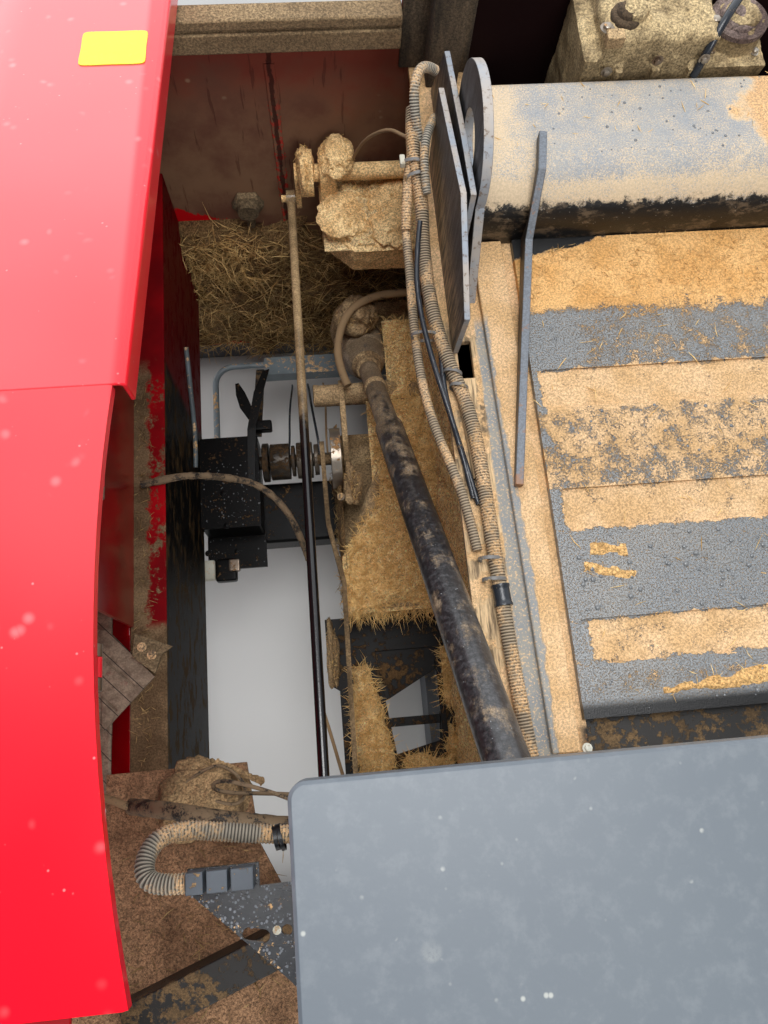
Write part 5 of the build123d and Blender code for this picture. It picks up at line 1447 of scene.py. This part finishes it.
loose_straw("deck_straw", (-0.03, -0.44, 1.0508), (0.62, 0.27, 1.0512), 130, 0.028, "straw_bright", 101)
loose_straw("beam_straw", (-0.09, 0.38, 1.1508), (0.70, 0.49, 1.1512), 40, 0.02, "straw_bright", 103)
loose_straw("floor_straw", (-0.70, -0.86, 0.8068), (-0.15, -0.60, 0.8085), 240, 0.03, "straw_dull", 105)
loose_straw("rail_straw", (-0.69, -0.60, 0.8008), (-0.665, 0.18, 0.8018), 130, 0.02, "straw_dull", 107)
loose_straw("hood_floor_straw", (-0.50, -0.96, 0.808), (-0.16, -0.88, 0.812), 160, 0.06, "straw_bright", 109)
print("lots of loose straw: 5")

# %% [markdown]
# ## Sheets that close the seams
#
# The skin of the machine's side runs on behind the liner, beside the flap and along the floor. Three narrow
# sheets stand for it, with a slight ripple as thin steel has after years of use.


# %% Side sheets
def side_sheet(name, corner, along_a, along_b, finish):
    """Sheet that closes a seam: corner plus shares of two sides, with a 3 mm ripple, 5 mm thick."""
    rows, columns = 24, 12
    u, v = np.linspace(0.0, 1.0, rows)[:, None, None], np.linspace(0.0, 1.0, columns)[None, :, None]
    corner, a, b = (np.array(side, dtype=float) for side in (corner, along_a, along_b))
    places = corner + u * a + v * b + 0.003 * np.sin(9.0 * u + 4.0 * v) * np.array([0.0, 0.0, 1.0])
    sheet = new_piece(name, places, grid_faces(rows, columns), finish, "frame", slot_of["side_liner"])
    wall = sheet.modifiers.new("sheet", "SOLIDIFY")
    wall.thickness = 0.005
    wall.offset = -1.0


# They bridge the liner's rear end, the skirt behind it and the floor's outer edge.
side_sheet("side_bridge", (-0.700, -0.268, 0.790), (0, 0.170, 0), (-0.052, 0, -0.048), "inner_red")
side_sheet("side_bridge_rear", (-0.728, -0.530, 0.798), (0, 0.330, 0), (-0.052, 0, 0), "plank_dust")
side_sheet("side_bridge_floor", (-0.730, -0.900, 0.798), (0, 0.140, 0), (-0.085, 0, 0), "floor_dust")
print("side sheets: 3")

# %% [markdown]
# ## Lumps and blocks
#
# What is left is small: clods that hang on the levers, connectors, a plug, bolts with washers. A clod is an
# ellipsoid whose radius wanders. A connector is the same ellipsoid with its sine and cosine raised to a small
# power, which squares it into a block with soft corners.


# %% Clods and soft blocks
def round_form(name, centre, half, finish, slot, body="frame", square=1.0, rough=0.0, seed=1, rows=44):
    """Centre plus half size times (sin v cos u, sin v sin u, cos v), each to a power, swollen by noise."""
    u = np.linspace(0.0, 2.0 * np.pi, 2 * rows, endpoint=False)[None]
    v = np.linspace(0.05, np.pi - 0.05, rows)[:, None]
    ways = np.stack([np.sin(v) * np.cos(u), np.sin(v) * np.sin(u), np.cos(v) + 0.0 * u], axis=-1)
    swell = cloud(ways, 1.3, seed) + 0.4 * cloud(ways, 0.5, seed + 1) + 0.25 * cloud(ways, 0.17, seed + 2)
    bent_v = [np.sign(g) * np.abs(g) ** square for g in (np.sin(v), np.cos(v))]
    bent_u = [np.sign(g) * np.abs(g) ** square for g in (np.cos(u), np.sin(u))]
    form = np.stack([bent_v[0] * bent_u[0], bent_v[0] * bent_u[1], bent_v[1] + 0.0 * u], axis=-1)
    places = np.array(centre) + form * (1.0 + rough * swell)[..., None] * np.array(half)
    return new_piece(name, places, ring_faces(rows, 2 * rows), finish, body, slot, turn_out=True)


clods = [
    # name, centre in m, half size in m, finish, body, roughness
    ("clod_lever_hub", (-0.3575, 0.585, 0.866), (0.017, 0.046, 0.046), "shelf_dust", body_of["trip_shaft"],
     0.10),
    ("clod_bearing", (-0.2960, 0.592, 0.894), (0.032, 0.044, 0.020), "shelf_dust", "frame", 0.14),
    ("clod_shelf", (-0.275, 0.515, 0.820), (0.062, 0.052, 0.026), "shelf_dust", "frame", 0.18),
    ("clod_shelf_right", (-0.192, 0.524, 0.818), (0.070, 0.066, 0.026), "shelf_dust", "frame", 0.18),
    ("clod_knuckle", (-0.268, 0.432, 0.585), (0.046, 0.042, 0.040), "knuckle_dust", "frame", 0.14),
    ("clod_idler", (-0.3060, 0.045, 0.580), (0.016, 0.040, 0.020), "knuckle_dust", "frame", 0.26),
    ("clod_strap", (-0.372, -0.290, 0.476), (0.011, 0.060, 0.018), "strap_dust", "frame", 0.28),
    ("clod_latch", (-0.585, -0.530, 0.812), (0.060, 0.055, 0.030), "latch_dust", "frame", 0.20),
    ("clod_floor", (-0.300, -0.930, 0.812), (0.090, 0.040, 0.020), "hay_gold", "frame", 0.25),
]


def straws_on(name, centre, half, count, length, seed, body="frame"):
    """Straws that stick to the upper half of an ellipsoid: centre plus half size times a random direction."""
    chance = np.random.default_rng(seed)
    out, flat = chance.normal(size=(2, count, 3))
    out[:, 2] = np.abs(out[:, 2])
    out = unit(out)
    flat = unit(flat - (flat * out).sum(axis=1, keepdims=True) * out)
    ways = flat + out * chance.uniform(0.0, 0.5, (count, 1))
    lengths = length * chance.uniform(0.4, 1.0, count)
    roots = np.array(centre) + 0.98 * out * np.array(half)
    strands(name, roots, ways, lengths, 0.0012, "straw_gold", seed + 1, body)


straws_in_metre = 6.0e4
for name, centre, half, finish, body, rough in clods:
    round_form(name, centre, half, finish, "dusty_paint", body, rough=rough, seed=len(name))
    straws = int(straws_in_metre * half[0] * half[1]) + 40
    straws_on(name + "_straw", centre, half, straws, 0.011, len(name) + 400, body)
blocks = [
    # name, centre in m, half size in m, finish
    ("connector_cream", (-0.6397, -0.0700, 0.372), (0.016, 0.022, 0.014), "cream_plastic"),
    ("connector_dark", (-0.6000, -0.0720, 0.370), (0.024, 0.026, 0.013), "black_wet"),
    ("connector_bridge", (-0.5800, -0.0640, 0.382), (0.012, 0.014, 0.008), "worn_steel"),
    ("bay_connector", (-0.4950, 0.2400, 0.452), (0.020, 0.012, 0.012), "black_wet"),
    ("lock_pale", (-0.2050, 0.388, 1.114), (0.004, 0.009, 0.005), "cream_plastic"),
    ("gearbox_pad", (0.1260, 0.524, 1.196), (0.014, 0.010, 0.010), "knuckle_dust"),
]
for name, centre, half, finish in blocks:
    round_form(name, centre, half, finish, "black_paint", square=0.22, rows=20)
print("clods and blocks:", len(clods) + len(blocks))


# %% [markdown]
# ## Bolts
#
# A bolt on a machine like this has a washer, six flats and a crowned head. Here it is a stack of five rings
# of twelve points: two round ones for the washer, and three that are pulled in to a hexagon. The bolts of one
# casting are one mesh, which keeps the list of pieces short.


# %% Bolts with washers
def circle_across(way, around):
    """The direction at unit length, and a circle of unit radius that lies across it."""
    way = unit(way)
    side = unit(np.cross(way, (0.0, 1.0, 0.0) if abs(way[1]) < 0.8 else (1.0, 0.0, 0.0)))
    angle = np.linspace(0.0, 2.0 * np.pi, around, endpoint=False)[:, None]
    return way, np.cos(angle) * side + np.sin(angle) * np.cross(way, side)


def bolts(name, rows, finish, slot="steel"):
    """Rings of points: washer, then six flats up to a crown; rows are (place, direction, size in mm)."""
    around = 12
    angle = np.linspace(0.0, 2.0 * np.pi, around, endpoint=False)
    hexagon = np.cos(np.pi / 6.0) / np.cos(np.mod(angle, np.pi / 3.0) - np.pi / 6.0)
    # radius and height as shares of the size, and whether the ring has flats
    profile_rows = [(1.0, 0.0, False), (1.0, 0.12, False), (0.62, 0.14, True), (0.62, 0.55, True),
                    (0.50, 0.62, True)]
    all_places, all_faces = [], []
    for count, (place, way, size) in enumerate(rows):
        way, ring = circle_across(way, around)
        levels = []
        for share, height, flats in profile_rows:
            reach = share * size * (hexagon if flats else np.ones(around))
            levels.append(ring * reach[:, None] + way * (height * size))
        all_places.append(np.concatenate(levels) / 1000.0 + np.array(place))
        first = count * around * len(profile_rows)
        all_faces += [[i + first for i in face] for face in ring_faces(len(profile_rows), around)]
    return new_piece(name, np.concatenate(all_places), all_faces, finish, "frame", slot, turn_out=True)


upward, leftward, rearward = (0, 0, 1), (-1, 0, 0), (0, -1, 0)
bolts("gearbox_bolts", [
    ((0.115, 0.538, 1.2015), upward, 11), ((0.286, 0.545, 1.2015), upward, 11),
    ((0.120, 0.630, 1.2015), upward, 11), ((0.126, 0.509, 1.150), rearward, 9),
    ((0.200, 0.507, 1.170), rearward, 9), ((0.275, 0.507, 1.170), rearward, 9),
    ((0.315, 0.558, 1.131), upward, 9), ((0.388, 0.558, 1.131), upward, 9)], "worn_steel")
bolts("drive_box_bolts", [
    ((-0.700, 0.085, 0.4555), upward, 8), ((-0.590, 0.085, 0.4555), upward, 8),
    ((-0.585, 0.010, 0.4555), upward, 8),
    ((-0.575, -0.030, 0.3755), upward, 7), ((-0.640, -0.030, 0.3755), upward, 7)], "black_wet", "black_paint")
bolts("flap_bolts", [
    ((-0.6776, -0.2854, 0.8125), upward, 8), ((-0.6615, -0.2997, 0.8125), upward, 8)], "knuckle_steel")
bolts("pale_bolts", [
    ((-0.034, -0.497, 1.0385), upward, 7), ((-0.4497, -0.6629, 1.1005), upward, 5)], "cream_plastic", "steel")
bolts("idler_bolts", [
    ((-0.3600, 0.1150, 0.550), leftward, 12), ((-0.3317, 0.0100, 0.612), upward, 8)], "knuckle_steel")
print("bolt groups: 5")

# %% [markdown]
# ## Gearbox plug and guard rings
#
# The gearbox has a big plug on its top and a stepped round cover at the right, both turned on a lathe, so
# each is a profile carried once round. The guard's lower end is a bellows of soft rings, made the same way.


# %% Turned parts
def turned(name, centre, way, rows, finish, slot, around=40):
    """Profile of (radius, height) in mm carried round an axis, with both ends closed."""
    way, ring = circle_across(way, around)
    radius, height = np.array(rows, dtype=float).T / 1000.0
    places = np.array(centre) + radius[:, None, None] * ring[None] + height[:, None, None] * way
    return new_piece(name, places, ring_faces(len(rows), around), finish, "frame", slot, turn_out=True)


turned("gearbox_plug", (0.149, 0.560, 1.200), upward, [
    (25, -2), (25, 5), (22, 8), (17, 8), (16, 14), (12, 17), (3, 17)], "plug_brown", "casting")
turned("gearbox_cover", (0.352, 0.590, 1.160), upward, [
    (46, 0), (46, 8), (42, 11), (38, 8), (33, 8), (31, 14), (26, 16), (22, 13), (14, 13), (12, 19), (3, 20)],
    "cast_ring", "casting")
axis_low = np.array([-0.260, 0.408, 0.500])
axis_way = unit([0.0928, -1.080, 0.880])
bellows = [(37, 0), (40, 4), (41, 9), (37, 13), (35, 16), (38, 19), (38, 24), (33, 28), (31, 31), (34, 34),
           (34, 40), (29, 45), (27, 52), (28, 56), (27, 60), (24, 62)]
turned("guard_bellows", axis_low + 0.080 * axis_way, axis_way, bellows, "knuckle_dust", "black_plastic", 48)
turned("guard_collar", axis_low + 0.225 * axis_way, axis_way, [
    (20.5, 0), (24, 1), (24.5, 12), (23, 16), (20.5, 17)], "knuckle_dust", "black_plastic", 48)
print("turned parts: 4")

# %% [markdown]
# ## The blank plate
#
# A small yellow plate sits on the shield's slope. Its outline is a circle whose sine and cosine are raised to
# a small power, which squares it, with a fine wave on the radius that scallops the rim like a stamp's. It is
# a thin sheet just clear of the paint, and nothing is printed on it.

# %% Blank plate with a scalloped rim
rim_points, scallops = 240, 60
plate_centre = np.array([-0.6040, 0.4790, 1.2475])
plate_half = np.array([0.0440, 0.0385])
shield_slope = -0.2424
rim_angle = np.linspace(0.0, 2.0 * np.pi, rim_points, endpoint=False)
squared = [np.sign(g) * np.abs(g) ** 0.16 for g in (np.cos(rim_angle), np.sin(rim_angle))]
scallop = 1.0 + 0.018 * np.abs(np.sin(rim_angle * scallops / 2.0))
flat_x, flat_y = (half * part * scallop for half, part in zip(plate_half, squared))
outline = plate_centre + np.stack([flat_x, flat_y, shield_slope * flat_y], axis=-1)
plate_up = np.array([0.0, 0.2356, 0.9718])
plate_places = np.concatenate([outline + lift * plate_up for lift in (0.0003, 0.0011)])
new_piece("blank_plate", plate_places, ring_faces(2, rim_points), "plate_yellow", body_of["shield_front"],
          slot_of["shield_front"], turn_out=True)
print("plate width", round(float(np.ptp(flat_x)), 3), "m")

# %% [markdown]
# ## Leads in the bay
#
# Thin leads and two steel blades hang between the channel bar and the drive box, and a lead runs from the
# level sensor. They are held at both ends, so they are fixed pieces on the same kind of curve as the hoses.

# %% Thin leads and blades
leads = [
    # name, diameter in mm, finish, slot, control points in mm
    ("sensor_lead", 5, "hose_dusty", "hose_rubber", [
        (-487, 632, 660), (-489, 628, 628), (-478, 624, 596), (-458, 622, 572), (-440, 640, 560)]),
    ("bay_lead_left", 5, "cable_gloss", "hose_rubber", [
        (-432, 430, 262), (-428, 396, 330), (-436, 300, 400), (-440, 200, 404), (-444, 178, 418)]),
    ("bay_lead_middle", 6, "cable_gloss", "hose_rubber", [
        (-392, 430, 262), (-388, 380, 340), (-382, 290, 420), (-372, 205, 440), (-370, 176, 430)]),
    ("bay_lead_right", 5, "hose_dusty", "hose_rubber", [
        (-352, 430, 262), (-348, 380, 330), (-350, 290, 400), (-354, 205, 415), (-352, 172, 424)]),
    ("shelf_lead", 7, "hose_dusty", "hose_rubber", [
        (-398, -210, 478), (-408, -300, 476), (-404, -380, 470), (-384, -460, 469), (-366, -540, 469)]),
    ("rail_pipe", 10, "pale_pipe", "frame_grey", [
        (-630, 350, 640), (-630, 320, 626), (-630, 250, 590), (-630, 178, 551), (-634, 120, 540)]),
    ("left_pipe", 12, "hose_dusty", "frame_grey", [
        (-735, -512, 826), (-720, -516, 830), (-700, -526, 832), (-680, -534, 830)]),
    ("latch_lead", 5, "hose_crusty", "hose_rubber", [
        (-600, -500, 862), (-560, -476, 874), (-528, -486, 880), (-505, -516, 878), (-520, -540, 868),
        (-560, -530, 866), (-590, -510, 862)]),
    ("gearbox_hose", 13, "cable_gloss", "hose_rubber", [
        (356, 612, 1196), (336, 590, 1212), (312, 560, 1212), (291, 532, 1204), (277, 512, 1176),
        (270, 504, 1140)]),
]
for name, diameter, finish, slot, points in leads:
    reference = (1, 0, 0) if name == "rail_pipe" else (0.1, 0.2, 1.0)
    extra_run(name, diameter, finish, False, reference, points, slot)


def blade(name, line, half_widths):
    """Steel blade: a rectangle of changing width, 3 mm thick, carried along a line of points."""
    line = np.array(line)
    across_line = unit([1.0, 0.25, 0.0]) * np.array(half_widths)[:, None]
    thick = np.array([0.0, 0.0, 0.003])
    left_side, right_side = line - across_line, line + across_line
    corners = np.stack([left_side, right_side, right_side + thick, left_side + thick], axis=1)
    faces = ring_faces(len(line), 4)
    return new_piece(name, corners, faces, "black_wet", "frame", "black_paint", turn_out=True, smooth=False)


blade("bay_blade_left", [
    [-0.5525, 0.3566, 0.440], [-0.545, 0.330, 0.440], [-0.535, 0.298, 0.440], [-0.521, 0.262, 0.440]],
    [0.004, 0.011, 0.013, 0.006])
blade("bay_blade_right", [
    [-0.481, 0.372, 0.470], [-0.500, 0.320, 0.470], [-0.520, 0.230, 0.468], [-0.526, 0.107, 0.456]],
    [0.008, 0.012, 0.010, 0.008])
print("leads:", len(leads))

# %% [markdown]
# ## Drops of rain
#
# The machine has stood in the rain. Drops sit as beads on the paint that shows between the dust. Each bead is
# the cap of a ball, flattened, set on the sheet where a straight line down from above meets it, and turned to
# the sheet's own slope there.


# %% Beads on the sheets
def beads(name, node, low, high, count, size, finish, seed):
    """Caps: three rings of eight points and a top, set where a line straight down meets the node."""
    around = 8
    rings = np.array([[1.0, -0.05], [0.95, 0.25], [0.62, 0.50]])
    mesh = nodes[node].data
    corners = np.empty(len(mesh.vertices) * 3)
    mesh.vertices.foreach_get("co", corners)
    sides = np.empty(len(mesh.loops), dtype=int)
    mesh.loops.foreach_get("vertex_index", sides)
    tree = BVHTree.FromPolygons(corners.reshape(-1, 3).tolist(), sides.reshape(-1, 3).tolist())
    chance = np.random.default_rng(seed)
    spots = chance.uniform(low, high, (count, 2))
    over_all = 2.5
    hits = [tree.ray_cast((x, y, over_all), (0.0, 0.0, -1.0))[:2] for x, y in spots.tolist()]
    kept = [(tuple(place), tuple(normal)) for place, normal in hits if place is not None and normal.z > 0.3]
    places, normals = (np.array(part) for part in zip(*kept))
    radius = size * chance.uniform(0.35, 1.0, len(kept)) ** 1.5 / 1000.0
    side = unit(np.cross(normals, (0.0, 1.0, 0.0)))
    ahead = np.cross(normals, side)
    angle = np.linspace(0.0, 2.0 * np.pi, around, endpoint=False)[None, :, None]
    ring = np.cos(angle) * side[:, None] + np.sin(angle) * ahead[:, None]
    wide, high = rings[None, :, None, :1], rings[None, :, None, 1:]
    shell = radius[:, None, None, None] * (wide * ring[:, None] + high * normals[:, None, None])
    top = radius[:, None, None] * 0.6 * normals[:, None]
    last = len(rings) * around
    points = np.concatenate([shell.reshape(len(kept), last, 3), top], axis=1) + places[:, None]
    first = np.arange(len(kept))[:, None, None] * (last + 1)
    quads = (np.array(grid_faces(len(rings), around, wrap=True)) + first).reshape(-1, 4).tolist()
    upper = np.arange(last - around, last)
    fans = np.stack([upper, np.roll(upper, -1), np.full(around, last)], axis=1)
    triangles = (fans + first).reshape(-1, 3).tolist()
    bottoms = (np.arange(around)[::-1][None] + first).reshape(-1, around).tolist()
    faces = quads + triangles + bottoms
    return new_piece(name, points, faces, finish, body_of[node], slot_of[node], turn_out=True)


bead_rows = [
    # name, node, low and high corner in m, count, largest radius in mm, finish
    ("beads_deck_rear", "deck", (-0.01, -0.325), (0.56, -0.205), 170, 4.4, "water"),
    ("beads_deck_edge", "deck", (0.0, -0.455), (0.56, -0.39), 70, 3.6, "water"),
    ("beads_deck_middle", "deck", (0.0, -0.135), (0.56, -0.015), 50, 3.2, "water"),
    ("beads_deck_front", "deck", (0.0, 0.06), (0.56, 0.16), 50, 3.2, "water"),
    ("beads_beam", "cross_beam", (0.0, 0.36), (0.60, 0.49), 110, 2.6, "water"),
    ("beads_guard", "guard_lower", (-0.30, -0.10), (-0.18, 0.30), 240, 1.2, "water"),
    ("beads_guard_upper", "guard_upper", (-0.26, -0.48), (-0.14, 0.20), 240, 1.2, "water"),
    ("beads_gusset", "corner_gusset", (-0.60, -0.75), (-0.40, -0.58), 900, 2.0, "water_pale"),
    ("beads_drive_box", "drive_box", (-0.74, -0.06), (-0.50, 0.16), 260, 1.8, "water"),
]
for count, row in enumerate(bead_rows):
    beads(*row, seed=300 + count)
print("groups of beads:", len(bead_rows))
